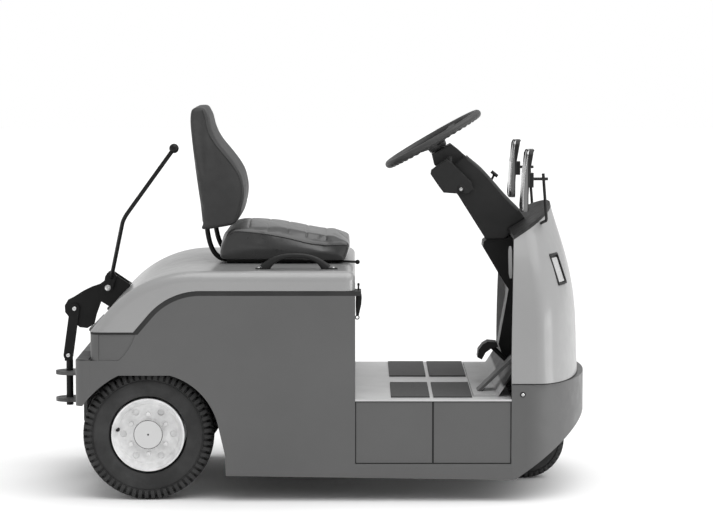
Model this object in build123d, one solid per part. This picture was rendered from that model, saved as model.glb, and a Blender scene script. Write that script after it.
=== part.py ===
from build123d import *
import math
import os

# Seated three-wheel tow tractor for baggage carts, in millimetres.
# +X is forward, +Y is the vehicle's left, +Z is up, and the ground is Z = 0.

# Overall body
half_width = 500
rear_x = -794
panel_rear_x = -744
box_front_x = 126
nose_seam_x = 640
sheet = 5
panel_gap = 3
reach_past = 10

# Floor, skirt and rear panel heights
floor_top = 340
floor_sheet = 6
skirt_rear_z = 86
skirt_front_z = 73
skirt_rear_x = -298
rear_panel_bottom = 318
rear_panel_top = 468
rear_corner_radius = 28

# Seam between the hood and the side panels
seam_low_z = 557
seam_top_z = 697
seam_arc_x = -382
seam_arc_radius = 223
seam_slope = math.radians(49.4)
trim_height = 15
trim_tail = 3
trim_depth = 12
trim_lip = 20
lid_gap = 1

# Shallow pressing in the rear of the side panel
pressing_depth = 3
pressing_low_x = -650
pressing_top_x = -593
pressing_bow = 5

# Hood, a lid hinged at its rear edge
hood_top = 761
hood_rear_z = 564
hood_slope = math.radians(49.2)
hood_arc_radius = 382
hood_edge_radius = 33
hood_front_radius = 25
hinge_radius = 7
hinge_pin_radius = 3
hinge_y = 330
hinge_half_width = 45
hinge_leaf = 3
hinge_leaf_length = 48
knuckle_gap = 0.5

# Pads on the ledge behind the hood
pad_sheet = 4
pad_margin = 5
pad_length = 225

# Rear wheels
rear_axle_x = -558
rear_axle_z = 217
rear_tyre_radius = 217
rear_tyre_width = 112
rear_tyre_face = 470
rear_rim_radius = 127
rear_hub_radius = 48
axle_tube_radius = 45
axle_stub_radius = 22
axle_tip = 430
running_gap = 0.05
lug_count = 36
lug_slot_width = 9
lug_slot_radius = 196
lug_slot_depth = 24
bolt_count = 6
bolt_circle = 66
bolt_radius = 7
bolt_height = 9
pocket_circle = 83
pocket_radius = 11
pocket_depth = 5

# Wheel arch cut in the side panels
arch_top = 419
arch_front_x = -323
arch_front_z = 245
arch_front_mid = (-380, 357)
arch_ankle_z = 153
arch_ankle_step = 4
arch_flat_front_x = -482
arch_flat_rear_x = -652
arch_rear_mid = (-725, 369)
arch_rear_x = -772
arch_rear_z = 316
arch_depth = 60

# Front wheel and its fork
front_axle_x = 713
front_tyre_radius = 137
front_tyre_width = 80
front_hub_radius = 82
front_hub_step = 6
front_hub_recess = 16
front_hub_boss = 30
front_hub_boss_length = 4
front_shoulder = 10
fork_gap = 10
fork_leg = 12
fork_leg_foot = 26
fork_leg_below = 30
fork_top_gap = 14
fork_crown = 14
fork_half_length = 60
front_axle_radius = 12
front_axle_nut = 8
steer_shaft_radius = 22

# Nose skirt and cowl
nose_straight_x = 691
nose_reach = 220
nose_top = 388
nose_cut_slope = 0.72
nose_cut_x = 653
nose_lip = 24
cowl_sheet = 6
cowl_top_rear_x = 657
cowl_top_rear_z = 863
cowl_top_front_x = 790
cowl_top_front_z = 946
cap_height = 12

# Cowl sections: height, rear edge, end of the straight side, front, and step in from the body side
cowl_stations = (
    (388, 640, 725, 890, 0),
    (563, 641, 722, 883, 8),
    (717, 645, 712, 864, 34),
    (862, 650, 690, 824, 100),
    (960, 655, 680, 795, 180),
)

# Headlamps in the cowl
lamp_z = 757
lamp_turn = math.radians(50.2)
lamp_width = 86
lamp_height = 108
lamp_corner = 8
lamp_depth = 30
lamp_proud = 3
lamp_rim = 7
lamp_recess = 5
lamp_gap = 0.5

# Step covers below the floor
cover_low_z = 126
cover_split_x = 382
cover_inset = 4
window_margin = 3

# Floor mats: two rows of two
mat_sheet = 5
mat_rear_x = 245
mat_length = 127
mat_split = 13
mat_side_margin = 45
mat_far_margin = 25
mat_inner_near = 100
mat_inner_far = 75

# Toe board: a sloped footboard and the upright behind it
board_foot_x = 517
board_knee_x = 600
board_top_x = 672
board_knee_z = 452
board_top_gap = 13
board_sheet = 6
board_margin = 70

# Pedals
pedal_y = -130
pedal_half_width = 35
pedal_stem_radius = 8
brake_pad = ((542, 438), (545, 462), (560, 482), (577, 492), (607, 489), (613, 474), (589, 468), (570, 454),
             (557, 430))
brake_stem = ((590, 474), (646, 420))
treadle = ((534, 346), (546, 346), (655, 450), (649, 458))
treadle_inset = 200
treadle_half_width = 40

# Seat
seat_half_width = 225
back_half_width = 215
seat_bottom = 778
seat_rail_y = 150
seat_rail_width = 30
seat_rail_rear_x = -310
seat_rail_front_x = 80
seat_cross_length = 40
seat_tube_y = 120
seat_tube_radius = (seat_bottom - hood_top) / 2
seat_tube_x = -366
seat_tube_top = 900
seat_tube_front_x = -300
seat_tube_bend = 30
seat_knob = (134, -165, 763)
seat_knob_radius = 8
seat_knob_stem = 4
cushion_outline = ((-338, 8), (-338, 74), (-300, 102), (-250, 115), (96, 72), (111, 48), (111, 18), (92, 0),
                   (-320, 0))
back_outline = ((-388, 872), (-408, 1075), (-434, 1253), (-425, 1283), (-400, 1290), (-374, 1286),
                (-347, 1226), (-297, 1153), (-262, 1118), (-243, 1087), (-228, 1014), (-234, 965),
                (-255, 912), (-290, 896))

# Steering wheel
wheel_x = 394
wheel_z = 1174
wheel_radius = 187.5
wheel_rim_radius = 14
wheel_tilt = math.radians(30)
wheel_hub_radius = 34
wheel_hub_height = 40
wheel_spokes = 3
spoke_width = 26
spoke_sheet = 10

# Steering column
column_half_width = 72
head_half_width = 52
column_shaft_radius = 16
column_shaft_length = 130
column_body = ((424, 1052), (500, 1120), (515, 1108), (557, 1073), (600, 1026), (642, 978), (685, 936),
               (706, 906), (640, 836), (573, 834), (526, 908), (478, 984))
head_inner = 30
head_outer = 44
head_foot = ((483, 1136), (512, 1108), (441, 1062), (398, 1086))
switch_outline = ((385, 1072), (401, 1084), (437, 1111), (458, 1095), (521, 1032), (531, 1006), (511, 990),
                  (427, 996), (411, 1017), (383, 1058))
switch_width = 40
switch_knob = (448, 1104)
switch_knob_radius = 9
switch_knob_length = 14
key_place = (486, 1008)
key_radius = 11
key_length = 6
shift_foot = (592, 1020)
shift_head = (607, 1050)
shift_bar = ((597, 1060), (618, 1043))
shift_y = 40
shift_radius = 4
shift_bar_radius = 6
support_outline = ((564, 806), (566, 824), (577, 832), (640, 834), (666, 848), (666, 454), (640, 414),
                   (619, 470), (653, 660), (618, 715))
support_half_width = 60

# Tow coupling at the back
jaw_tip_x = -911
jaw_half_width = 50
jaw_sheet = 12
jaw_upper_z = 361
jaw_lower_z = 268
jaw_pin_x = -863
tow_pin_radius = 12
tow_pin_gap = 0.1
tow_pin_low = 253
tow_pin_top = 410
backing_sheet = 12
backing_half_width = 262
backing_low = 235
backing_high = 440
pin_ear_length = 28
pin_ear_half_width = 6
pin_ear_lap = 4

# Lever, crank and link
crank_x = -724
crank_z = 665
crank_shaft_radius = 11
crank_nose_x = -843
crank_nose_z = 589
crank_sheet = 12
crank_outline = ((-10, 25), (-31, 9), (-60, -1), (-89, -15), (-122, -36), (-142, -46), (-154, -66),
                 (-153, -89), (-138, -109), (-116, -130), (-103, -142), (-76, -145), (-52, -130),
                 (-44, -97), (-28, -53), (2, -31), (24, -5), (18, 22), (4, 28))
link_eye_x = -866
link_eye_z = 427
link_width = 34
link_sheet = 10
link_gap = 0.3
link_pin_radius = 6
link_pin_head = 8
link_pin_head_length = 4
nose_hole_radius = 16
link_inner = -(crank_sheet / 2 + link_gap)
link_outer = link_inner - link_sheet

# Lever bracket on the hood, and the lever beside it
bracket_outline = ((-12, 27), (-5, 48), (7, 54), (18, 48), (77, 8), (44, -35), (12, -73), (-27, -48),
                   (-31, -19))
bracket_base = ((77, 8), (12, -73), (3, -66), (69, 14))
bracket_inner = 26
bracket_cheek = 8
shaft_end = 42
arm_inner = 46
arm_sheet = 10
arm_outline = ((-16, -8), (-18, 6), (-12, 22), (-9, 40), (2, 54), (20, 57), (30, 40), (20, 10), (14, -10),
               (0, -18))
lever_foot = (12, 34)
lever_knee = (-649, -290, 919)
lever_ball = (-478, -290, 1155)
lever_radius = 7
lever_bend = 60
lever_ball_radius = 16

# Frame, axle beam and the heavy masses
frame_margin = 60
frame_low = 92
frame_sheet = 6
arm_y = 250
arm_thickness = 10
arm_low = 332
arm_drop = 20
hanger_half_length = 70
hanger_low = 160
beam_x = -300
beam_length = 16
beam_top = 460
bulkhead_x = 540
bulkhead_sheet = 12
head_plate_low = 322
head_plate_front = 870
head_plate_half_width = 120
drive_box = (-690, -430, 130, 110, 322)
battery_box = (-270, 100, 400, 620)

# Grab handles on the hood: outline above the hood top
handle_inset = 100
handle_width = 25
handle_outer = ((-202, 0), (-202, 4), (-178, 5), (-162, 19), (-135, 41), (-100, 50), (-42, 48), (-3, 37),
                (18, 23), (38, 6), (65, 4), (65, 0))
handle_inner = ((5, 0), (-7, 28), (-42, 37), (-100, 37), (-128, 24), (-139, 0))

# Hood latches at the front corners
latch_inset = 60
latch_half_width = 12
latch_strap = ((127, 680), (147, 680), (146, 655), (139, 612), (129, 612))
latch_rod_x = 137
latch_rod_radius = 3
latch_hole_radius = 5
latch_bar_z = 715
latch_bar_radius = 4
latch_bar_half = 14
latch_loop = (133, 606)
latch_loop_radius = 7

# Mirrors
mirror_inset = 130
mirror_half_width = 65
mirror_corner = 24
mirror_line = ((676, 951), (676, 1007), (680, 1078), (692, 1149), (696, 1156))
mirror_glass_sheet = 4
mirror_depth = 20
mirror_low = 951
mirror_high = 1156
mirror_arm_radius = 5
clamp_box = (690, 716, 1030, 1078)
clamp_half_width = 14
mirror_cross_z = 1058
mirror_cross_front = 764
stalk_points = ((748, 0, 1076), (760, 0, 920), (742, 60, 905))
stalk_bend = 10


def plate(outline, y_low, y_high):
    # An outline in X and Z, made solid from y_low to y_high
    corners = [Vector(x, y_low, z) for x, z in outline]
    face = Face(Wire.make_polygon(corners, close=True))
    return Solid.extrude(face, Vector(0, y_high - y_low, 0))


def plate_from_edges(edges, y_low, y_high):
    # The same from lines and arcs drawn at Y = 0
    face = Face(Wire(edges))
    return Solid.extrude(face, Vector(0, y_high - y_low, 0)).moved(Location((0, y_low, 0)))


def block(x_low, x_high, y_low, y_high, z_low, z_high):
    corner = Plane(origin=(x_low, y_low, z_low))
    return Solid.make_box(x_high - x_low, y_high - y_low, z_high - z_low, corner)


def rod(start, end, radius):
    axis = Vector(*end) - Vector(*start)
    return Solid.make_cylinder(radius, axis.length, Plane(origin=start, z_dir=axis))


def cross_rod(place, y_low, y_high, radius):
    # A rod along Y through a point given in X and Z
    return rod((place[0], y_low, place[1]), (place[0], y_high, place[1]), radius)


def bent_rod(points, radius, bend):
    path = FilletPolyline(*points, radius=bend)
    section = Plane(origin=path @ 0, z_dir=path % 0) * Circle(radius)
    return sweep(section, path=path)


def turned(profile, centre):
    # A closed outline of radius and Y, turned about an axle along Y
    face = Face(Wire.make_polygon([Vector(radius, y, 0) for radius, y in profile], close=True))
    return revolve(face, axis=Axis.Y).moved(Location(centre))


def mirrored(shape):
    return shape.mirror(Plane.XZ)


def from_pivot(outline, pivot_x, pivot_z):
    return [(pivot_x + x, pivot_z + z) for x, z in outline]


def xz_line(start, end):
    return Edge.make_line(Vector(start[0], 0, start[1]), Vector(end[0], 0, end[1]))


def xz_arc(start, middle, end):
    corners = [Vector(x, 0, z) for x, z in (start, middle, end)]
    return Edge.make_three_point_arc(*corners)


# Body plan with two rounded rear corners

def rear_plan(rear, inset, front):
    side = half_width - inset
    radius = rear_corner_radius - inset
    back = rear + inset
    turn = back + radius
    nip = radius * (1 - math.sqrt(0.5))
    right = -side + radius
    left = side - radius
    edges = [Edge.make_line((front, -side), (turn, -side)),
             Edge.make_three_point_arc((turn, -side), (back + nip, -side + nip), (back, right)),
             Edge.make_line((back, right), (back, left)),
             Edge.make_three_point_arc((back, left), (back + nip, side - nip), (turn, side)),
             Edge.make_line((turn, side), (front, side)),
             Edge.make_line((front, side), (front, -side))]
    return Face(Wire(edges))


def rear_prism(rear, inset, front, z_low, z_high):
    plan = rear_plan(rear, inset, front)
    return Solid.extrude(plan, Vector(0, 0, z_high - z_low)).moved(Location((0, 0, z_low)))


# Seam and trim

def seam_points(drop):
    # Rear end of the slope, start of the arc, middle of the arc and its top
    radius = seam_arc_radius - drop
    arc_z = seam_top_z - seam_arc_radius
    start = (seam_arc_x - radius * math.sin(seam_slope), arc_z + radius * math.cos(seam_slope))
    half = seam_slope / 2
    middle = (seam_arc_x - radius * math.sin(half), arc_z + radius * math.cos(half))
    foot_z = seam_low_z - min(drop, trim_tail)
    foot = (start[0] - (start[1] - foot_z) / math.tan(seam_slope), foot_z)
    return foot, start, middle, (seam_arc_x, arc_z + radius)


def below_seam(drop, floor, rear, front):
    foot, start, middle, top = seam_points(drop)
    rear_end = (rear, foot[1])
    front_end = (front, top[1])
    edges = [xz_line(rear_end, foot), xz_line(foot, start), xz_arc(start, middle, top),
             xz_line(top, front_end)]
    edges.append(xz_line(front_end, (front, floor)))
    edges.append(xz_line((front, floor), (rear, floor)))
    edges.append(xz_line((rear, floor), rear_end))
    return edges


def arch_cutter(y_low, y_high):
    low = -reach_past
    rear = rear_x - reach_past
    foot = (skirt_rear_x, low)
    ankle = (skirt_rear_x - arch_ankle_step, arch_ankle_z)
    front_top = (arch_front_x, arch_front_z)
    flat_front = (arch_flat_front_x, arch_top)
    flat_rear = (arch_flat_rear_x, arch_top)
    rear_foot = (arch_rear_x, arch_rear_z)
    edges = [xz_line(foot, ankle), xz_line(ankle, front_top), xz_arc(front_top, arch_front_mid, flat_front)]
    edges += [xz_line(flat_front, flat_rear), xz_arc(flat_rear, arch_rear_mid, rear_foot)]
    edges += [xz_line(rear_foot, (rear, arch_rear_z)), xz_line((rear, arch_rear_z), (rear, low))]
    edges.append(xz_line((rear, low), foot))
    return plate_from_edges(edges, y_low, y_high)


# Body panels

def side_panel():
    outer = -half_width
    inner = outer + sheet
    corner_x = panel_rear_x + rear_corner_radius
    upper = plate_from_edges(below_seam(trim_height, rear_panel_top, corner_x, box_front_x), outer, inner)
    middle = block(panel_rear_x, box_front_x, outer, inner, floor_top, rear_panel_top)
    slope = (skirt_front_z - skirt_rear_z) / (nose_seam_x - skirt_rear_x)
    rear_z = skirt_rear_z + slope * (panel_rear_x - skirt_rear_x)
    lower = plate([(panel_rear_x, floor_top), (nose_seam_x, floor_top), (nose_seam_x, skirt_front_z),
                   (panel_rear_x, rear_z)], outer, inner)
    window = block(box_front_x, nose_seam_x, outer - sheet, inner + sheet, cover_low_z, floor_top + sheet)
    panel = upper + middle + lower - window - arch_cutter(outer - sheet, inner + sheet) - pressing()
    return panel + window_frame()


def pressing():
    # The shallow recess ahead of the rear corner, bounded by a bowed crease
    corner_x = panel_rear_x + rear_corner_radius
    top = seam_low_z
    middle = ((pressing_low_x + pressing_top_x) / 2 + pressing_bow,
              (rear_panel_top + top) / 2 - pressing_bow)
    edges = [xz_line((corner_x, rear_panel_top), (pressing_low_x, rear_panel_top)),
             xz_arc((pressing_low_x, rear_panel_top), middle, (pressing_top_x, top)),
             xz_line((pressing_top_x, top), (corner_x, top)),
             xz_line((corner_x, top), (corner_x, rear_panel_top))]
    return plate_from_edges(edges, -half_width - sheet, -half_width + pressing_depth)


def window_frame():
    # The joggled rim that the step covers seat on
    face = -half_width + sheet
    seat = -half_width + cover_inset + sheet
    back = seat + panel_gap
    top = floor_top - floor_sheet
    lap = 2 * sheet
    rim = block(box_front_x - lap, nose_seam_x, face, back, cover_low_z - lap, top)
    rim -= block(box_front_x, nose_seam_x, face, seat, cover_low_z, top)
    for x_low, x_high in ((box_front_x, cover_split_x), (cover_split_x, nose_seam_x)):
        rim -= block(x_low + lap, x_high - lap, face, back, cover_low_z + lap, top - lap)
    return rim


def hinge_place():
    return panel_rear_x - hinge_radius - knuckle_gap, seam_low_z


def hinge_fixed(y):
    # Leaf, two knuckles and the pin, on the wall below the hood
    place = hinge_place()
    leaf_top = place[1] - hinge_radius - knuckle_gap
    hinge = block(panel_rear_x - hinge_leaf, panel_rear_x, y - hinge_half_width, y + hinge_half_width,
                  leaf_top - hinge_leaf_length, leaf_top)
    third = hinge_half_width / 3
    for y_low, y_high in ((y - hinge_half_width, y - third), (y + third, y + hinge_half_width)):
        hinge += cross_rod(place, y_low, y_high, hinge_radius)
        hinge += block(place[0], panel_rear_x, y_low, y_high, leaf_top, place[1] - hinge_radius / 2)
    return hinge + cross_rod(place, y - hinge_half_width, y + hinge_half_width, hinge_pin_radius)


def hinge_moving(y):
    # The middle knuckle and its leaf, along the foot of the hood's slope
    place = hinge_place()
    half = hinge_half_width / 3 - knuckle_gap
    along = (math.cos(hood_slope), math.sin(hood_slope))
    out = (-math.sin(hood_slope) * hinge_leaf, math.cos(hood_slope) * hinge_leaf)
    foot = (panel_rear_x, hood_rear_z)
    head = (foot[0] + along[0] * hinge_leaf_length, foot[1] + along[1] * hinge_leaf_length)
    leaf = plate([foot, head, (head[0] + out[0], head[1] + out[1]), (place[0], place[1] + hinge_radius),
                  place, (panel_rear_x, place[1] + hinge_leaf)], y - half, y + half)
    knuckle = leaf + cross_rod(place, y - half, y + half, hinge_radius)
    return knuckle - cross_rod(place, y - hinge_half_width, y + hinge_half_width,
                               hinge_pin_radius + running_gap)


def rear_panel():
    # Lower box with its ledge, and the wall that carries the hood's hinges
    keep_low = panel_rear_x
    low, top = rear_panel_bottom, rear_panel_top
    wall = rear_prism(rear_x, 0, keep_low, low, top)
    wall -= rear_prism(rear_x, sheet, keep_low + reach_past, low - reach_past, top - sheet)
    upper_top = seam_low_z - trim_tail
    upper = rear_prism(panel_rear_x, 0, box_front_x, top, upper_top)
    upper -= rear_prism(panel_rear_x, sheet, box_front_x + reach_past, low, upper_top + sheet)
    upper &= block(panel_rear_x, panel_rear_x + rear_corner_radius, -half_width, half_width, low, upper_top)
    flat = half_width - rear_corner_radius
    upper += block(panel_rear_x, panel_rear_x + sheet, -flat, flat, top - sheet, top + sheet)
    side_cut = half_width - arch_depth
    body = wall + upper
    body -= arch_cutter(-half_width - sheet, -side_cut)
    body -= arch_cutter(side_cut, half_width + sheet)
    return body + hinge_fixed(-hinge_y) + hinge_fixed(hinge_y)


def ledge_pads():
    inner = rear_prism(rear_x, pad_margin, panel_rear_x - pad_margin, rear_panel_top,
                       rear_panel_top + pad_sheet)
    outer_y = half_width - pad_margin
    right = block(rear_x, panel_rear_x, -outer_y, -outer_y + pad_length, rear_panel_top,
                  rear_panel_top + pad_sheet)
    pad = inner & right
    return Compound([pad, mirrored(pad)])


def hood_solid(inset):
    low = seam_low_z - sheet - reach_past * min(inset, 1)
    radius = hood_arc_radius - inset
    arc_z = hood_top - hood_arc_radius
    ridge_x = panel_rear_x + (hood_top - hood_rear_z) / math.tan(hood_slope)
    arc_x = ridge_x + hood_arc_radius * math.tan(hood_slope / 2)
    start = (arc_x - radius * math.sin(hood_slope), arc_z + radius * math.cos(hood_slope))
    half = hood_slope / 2
    middle = (arc_x - radius * math.sin(half), arc_z + radius * math.cos(half))
    top = (arc_x, arc_z + radius)
    rear = panel_rear_x + inset
    rear_top = (rear, start[1] - (start[0] - rear) * math.tan(hood_slope))
    front = box_front_x - inset
    corner = hood_front_radius - inset
    nip = corner * (1 - math.sqrt(0.5))
    turn_start = (front - corner, top[1])
    turn_mid = (front - nip, top[1] - nip)
    turn_end = (front, top[1] - corner)
    edges = [xz_line((rear, low), rear_top), xz_line(rear_top, start), xz_arc(start, middle, top)]
    edges += [xz_line(top, turn_start), xz_arc(turn_start, turn_mid, turn_end)]
    edges += [xz_line(turn_end, (front, low)), xz_line((front, low), (rear, low))]
    side = half_width - inset
    body = plate_from_edges(edges, -side, side)
    rounded = [edge for edge in body.edges()
               if abs(abs(edge.center().Y) - side) < 1 and edge.center().Z > rear_top[1]]
    rounded = [edge for edge in rounded if abs((edge @ 0).X - (edge @ 1).X) > 1]
    body = body.fillet(hood_edge_radius - inset, rounded)
    return body & rear_prism(panel_rear_x, inset, box_front_x, low, hood_top)


def hood():
    shell = hood_solid(0) - hood_solid(sheet)
    span = half_width + reach_past
    rear = panel_rear_x - reach_past
    front = box_front_x + reach_past
    shell -= plate_from_edges(below_seam(-lid_gap, seam_low_z - hood_front_radius, rear, front), -span, span)
    return shell + hinge_moving(-hinge_y) + hinge_moving(hinge_y)


def hood_trim():
    span = half_width + reach_past
    floor = rear_panel_top
    band = plate_from_edges(below_seam(0, floor, panel_rear_x, box_front_x), -half_width, half_width)
    band &= rear_prism(panel_rear_x, 0, box_front_x, floor, hood_top)
    cut = plate_from_edges(below_seam(trim_height, floor - reach_past, panel_rear_x - reach_past,
                                      box_front_x + reach_past), -span, span)
    band -= cut
    band -= rear_prism(panel_rear_x, trim_depth, box_front_x - trim_depth, floor - reach_past, hood_top)
    lip = block(box_front_x, box_front_x + trim_lip, -half_width, half_width, seam_top_z - trim_height,
                seam_top_z)
    for side in (-1, 1):
        y = side * (half_width - latch_inset)
        lip -= rod((latch_rod_x, y, seam_low_z), (latch_rod_x, y, hood_top), latch_hole_radius)
    return band + lip


def hood_latch():
    # Rubber strap below the lip, with its pull bar above
    y = -half_width + latch_inset
    strap = plate(latch_strap, y - latch_half_width, y + latch_half_width)
    stem = rod((latch_rod_x, y, latch_strap[0][1] - sheet), (latch_rod_x, y, latch_bar_z), latch_rod_radius)
    bar = cross_rod((latch_rod_x, latch_bar_z), y - latch_bar_half, y + latch_bar_half, latch_bar_radius)
    loop = cross_rod(latch_loop, y - latch_half_width / 2, y + latch_half_width / 2, latch_loop_radius)
    return strap + stem + bar + loop


def seat_box_panel():
    top = seam_top_z - trim_height
    inner = half_width - sheet
    return block(box_front_x - sheet, box_front_x, -inner, inner, floor_top - floor_sheet, top)


def floor_plate():
    return block(box_front_x, nose_seam_x, -half_width, half_width, floor_top - floor_sheet, floor_top)


def floor_mats():
    near_row = (-half_width + mat_side_margin, -mat_inner_near)
    far_row = (mat_inner_far, half_width - mat_far_margin)
    mats = []
    for index in range(2):
        x_low = mat_rear_x + index * (mat_length + mat_split)
        for y_low, y_high in (near_row, far_row):
            mats.append(block(x_low, x_low + mat_length, y_low, y_high, floor_top, floor_top + mat_sheet))
    return Compound(mats)


def step_covers():
    outer = -half_width + cover_inset
    top = floor_top - floor_sheet - window_margin
    covers = []
    for x_low, x_high in ((box_front_x, cover_split_x), (cover_split_x, nose_seam_x)):
        covers.append(block(x_low + panel_gap, x_high - panel_gap, outer, outer + sheet,
                            cover_low_z + window_margin, top))
    return covers


# Nose and cowl

def half_oval(straight, rear, front, side, z):
    # A plan with straight sides and half an ellipse in front
    arc = Edge.make_ellipse(front - straight, side, Plane(origin=(straight, 0, z)), start_angle=270,
                            end_angle=90)
    lines = [Edge.make_line((straight, side, z), (rear, side, z)),
             Edge.make_line((rear, side, z), (rear, -side, z)),
             Edge.make_line((rear, -side, z), (straight, -side, z))]
    return Face(Wire([arc] + lines))


def nose_plan(inset):
    front = nose_straight_x + nose_reach - inset
    return half_oval(nose_straight_x, nose_seam_x - inset * 2, front, half_width - inset, 0)


def nose_skirt():
    up = Vector(0, 0, nose_top)
    outer = Solid.extrude(nose_plan(0), up)
    inner = Solid.extrude(nose_plan(sheet), up - Vector(0, 0, sheet))
    run = rear_x * -2
    rear = nose_cut_x - arch_depth
    cut = plate([(rear, skirt_front_z), (nose_cut_x, skirt_front_z),
                 (nose_cut_x + run, skirt_front_z + run * nose_cut_slope), (nose_cut_x + run, -reach_past),
                 (rear, -reach_past)], -half_width - reach_past, half_width + reach_past)
    opening = Solid.extrude(cowl_section(cowl_stations[0], nose_lip, -1), up)
    opening = opening.moved(Location((0, 0, sheet - cowl_stations[0][0])))
    return outer - inner - cut - opening


def cowl_section(station, inset, rear_shift):
    z, rear, straight, front, step = station
    return half_oval(straight, rear + rear_shift * inset, front - inset, half_width - step - inset, z)


def cowl_solid(inset):
    sections = [cowl_section(station, inset, -3).outer_wire() for station in cowl_stations]
    return Solid.make_loft(sections)


def above_cowl_top(lift):
    # Everything above the slanting line of the cowl's top edge
    run = cowl_top_front_x - cowl_top_rear_x
    rise = cowl_top_front_z - cowl_top_rear_z
    reach = 3
    rear = (cowl_top_rear_x - reach * run, cowl_top_rear_z - reach * rise + lift)
    front = (cowl_top_rear_x + reach * run, cowl_top_rear_z + reach * rise + lift)
    high = cowl_top_front_z * 2
    span = half_width + reach_past
    return plate([rear, front, (front[0], high), (rear[0], high)], -span, span)


def lamp_plane():
    # On the cowl's skin at the front corner, leaning back with it
    low, high = cowl_stations[2], cowl_stations[3]
    share = (lamp_z - low[0]) / (high[0] - low[0])
    straight, front, step = [a + share * (b - a) for a, b in list(zip(low, high))[2:]]
    reach = front - straight
    side = half_width - step
    place = (straight + reach * math.cos(lamp_turn), -side * math.sin(lamp_turn), lamp_z)
    level = Vector(reach * math.sin(lamp_turn), side * math.cos(lamp_turn), 0).normalized()
    rise = high[0] - low[0]
    straight_run = high[2] - low[2]
    reach_run = (high[3] - low[3] - straight_run) * math.cos(lamp_turn)
    upward = Vector(straight_run + reach_run, (high[4] - low[4]) * math.sin(lamp_turn), rise)
    return Plane(origin=place, x_dir=level, z_dir=level.cross(upward).normalized())


def lamp_prism(margin, back, ahead):
    plane = lamp_plane()
    start = Plane(origin=plane.origin - plane.z_dir * back, x_dir=plane.x_dir, z_dir=plane.z_dir)
    outline = RectangleRounded(lamp_width + 2 * margin, lamp_height + 2 * margin, lamp_corner + margin)
    return extrude(start * outline, amount=back + ahead, dir=plane.z_dir)


def headlamp():
    # Housing with a rim that stands proud of the cowl and a pocket for the lens
    housing = lamp_prism(0, lamp_depth, lamp_proud)
    return housing - lamp_prism(-lamp_rim, lamp_recess - lamp_proud, lamp_proud + 1)


def front_cowl():
    shell = cowl_solid(0) - cowl_solid(cowl_sheet) - above_cowl_top(0)
    hole = lamp_prism(lamp_gap, lamp_depth + reach_past, lamp_depth)
    return shell - hole - mirrored(hole)


def cowl_cap():
    return (cowl_solid(0) & above_cowl_top(0)) - above_cowl_top(cap_height)


def toe_board():
    inner_knee = board_knee_x - board_sheet + 2
    foot, knee, top = board_foot_x, board_knee_x, cowl_top_rear_z - board_top_gap
    outline = [(foot, floor_top), (knee, floor_top), (board_top_x, board_knee_z), (board_top_x, top),
               (board_top_x - board_sheet, top), (board_top_x - board_sheet, board_knee_z + 2),
               (inner_knee, floor_top + board_sheet), (foot, floor_top + board_sheet)]
    span = half_width - board_margin
    board = plate(outline, -span, span)
    below = block(foot - reach_past, board_top_x + arch_depth, -span, span, floor_top - arch_depth, nose_top)
    return (board & below) + (board & cowl_solid(cowl_sheet + 1))


# Running gear and frame

def chassis_frame():
    side = half_width - frame_margin
    tray_top = frame_low + frame_sheet
    tray = block(skirt_rear_x + reach_past, bulkhead_x + bulkhead_sheet, -side, side, frame_low, tray_top)
    arm = block(rear_x + sheet + backing_sheet, beam_x + beam_length, arm_y, arm_y + arm_thickness, arm_low,
                rear_panel_top - arm_drop)
    arm += block(rear_axle_x - hanger_half_length, rear_axle_x + hanger_half_length, arm_y,
                 arm_y + arm_thickness, hanger_low, arm_low)
    beam = block(beam_x, beam_x + beam_length, -side, side, tray_top, beam_top)
    head_top = head_plate_low + bulkhead_sheet
    head = block(bulkhead_x, head_plate_front, -head_plate_half_width, head_plate_half_width,
                 head_plate_low, head_top)
    head += block(bulkhead_x, bulkhead_x + bulkhead_sheet, -side, side, tray_top, head_top)
    frame = tray + arm + mirrored(arm) + beam + head
    frame -= cross_rod((rear_axle_x, rear_axle_z), -half_width, half_width, axle_tube_radius)
    return frame - rod((front_axle_x, 0, tray_top), (front_axle_x, 0, nose_top),
                       steer_shaft_radius + running_gap)


def rear_axle():
    tube_tip = rear_tyre_face - rear_tyre_width - arm_drop
    tube = cross_rod((rear_axle_x, rear_axle_z), -tube_tip, tube_tip, axle_tube_radius)
    return tube + cross_rod((rear_axle_x, rear_axle_z), -axle_tip, axle_tip, axle_stub_radius)


def drive_unit():
    x_low, x_high, side, z_low, z_high = drive_box
    case = block(x_low, x_high, -side, side, z_low, z_high)
    return case - cross_rod((rear_axle_x, rear_axle_z), -half_width, half_width, axle_tube_radius)


def battery():
    x_low, x_high, side, z_high = battery_box
    return block(x_low, x_high, -side, side, frame_low + frame_sheet, z_high)


def around_wheel(shape, count, centre):
    # Copies of a shape spaced evenly about the rear axle
    axis = Axis(centre, (0, 1, 0))
    return [shape.rotate(axis, index * 360 / count) for index in range(count)]


def rear_tyre():
    inner = -(rear_tyre_face - rear_tyre_width)
    outer = -rear_tyre_face
    r = rear_tyre_radius
    rim = rear_rim_radius
    wall = rim + (r - rim) * 0.48
    shoulder = r - 17
    profile = [(rim - 6, outer + 14), (rim + 8, outer + 2), (wall, outer), (shoulder, outer + 6),
               (r - 4, outer + 18), (r, outer + 30), (r, inner - 30), (r - 4, inner - 18),
               (shoulder, inner - 6), (wall, inner), (rim + 8, inner - 2), (rim - 6, inner - 14)]
    centre = (rear_axle_x, 0, rear_axle_z)
    tyre = turned(profile, centre)
    half = lug_slot_width / 2
    x_low, x_high = rear_axle_x - half, rear_axle_x + half
    z_low, z_high = rear_axle_z + lug_slot_radius, rear_axle_z + r + reach_past
    slots = []
    for y_low, y_high in ((outer - 1, outer + lug_slot_depth), (inner - lug_slot_depth, inner + 1)):
        slots += around_wheel(block(x_low, x_high, y_low, y_high, z_low, z_high), lug_count, centre)
    return tyre.cut(*slots)


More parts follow.
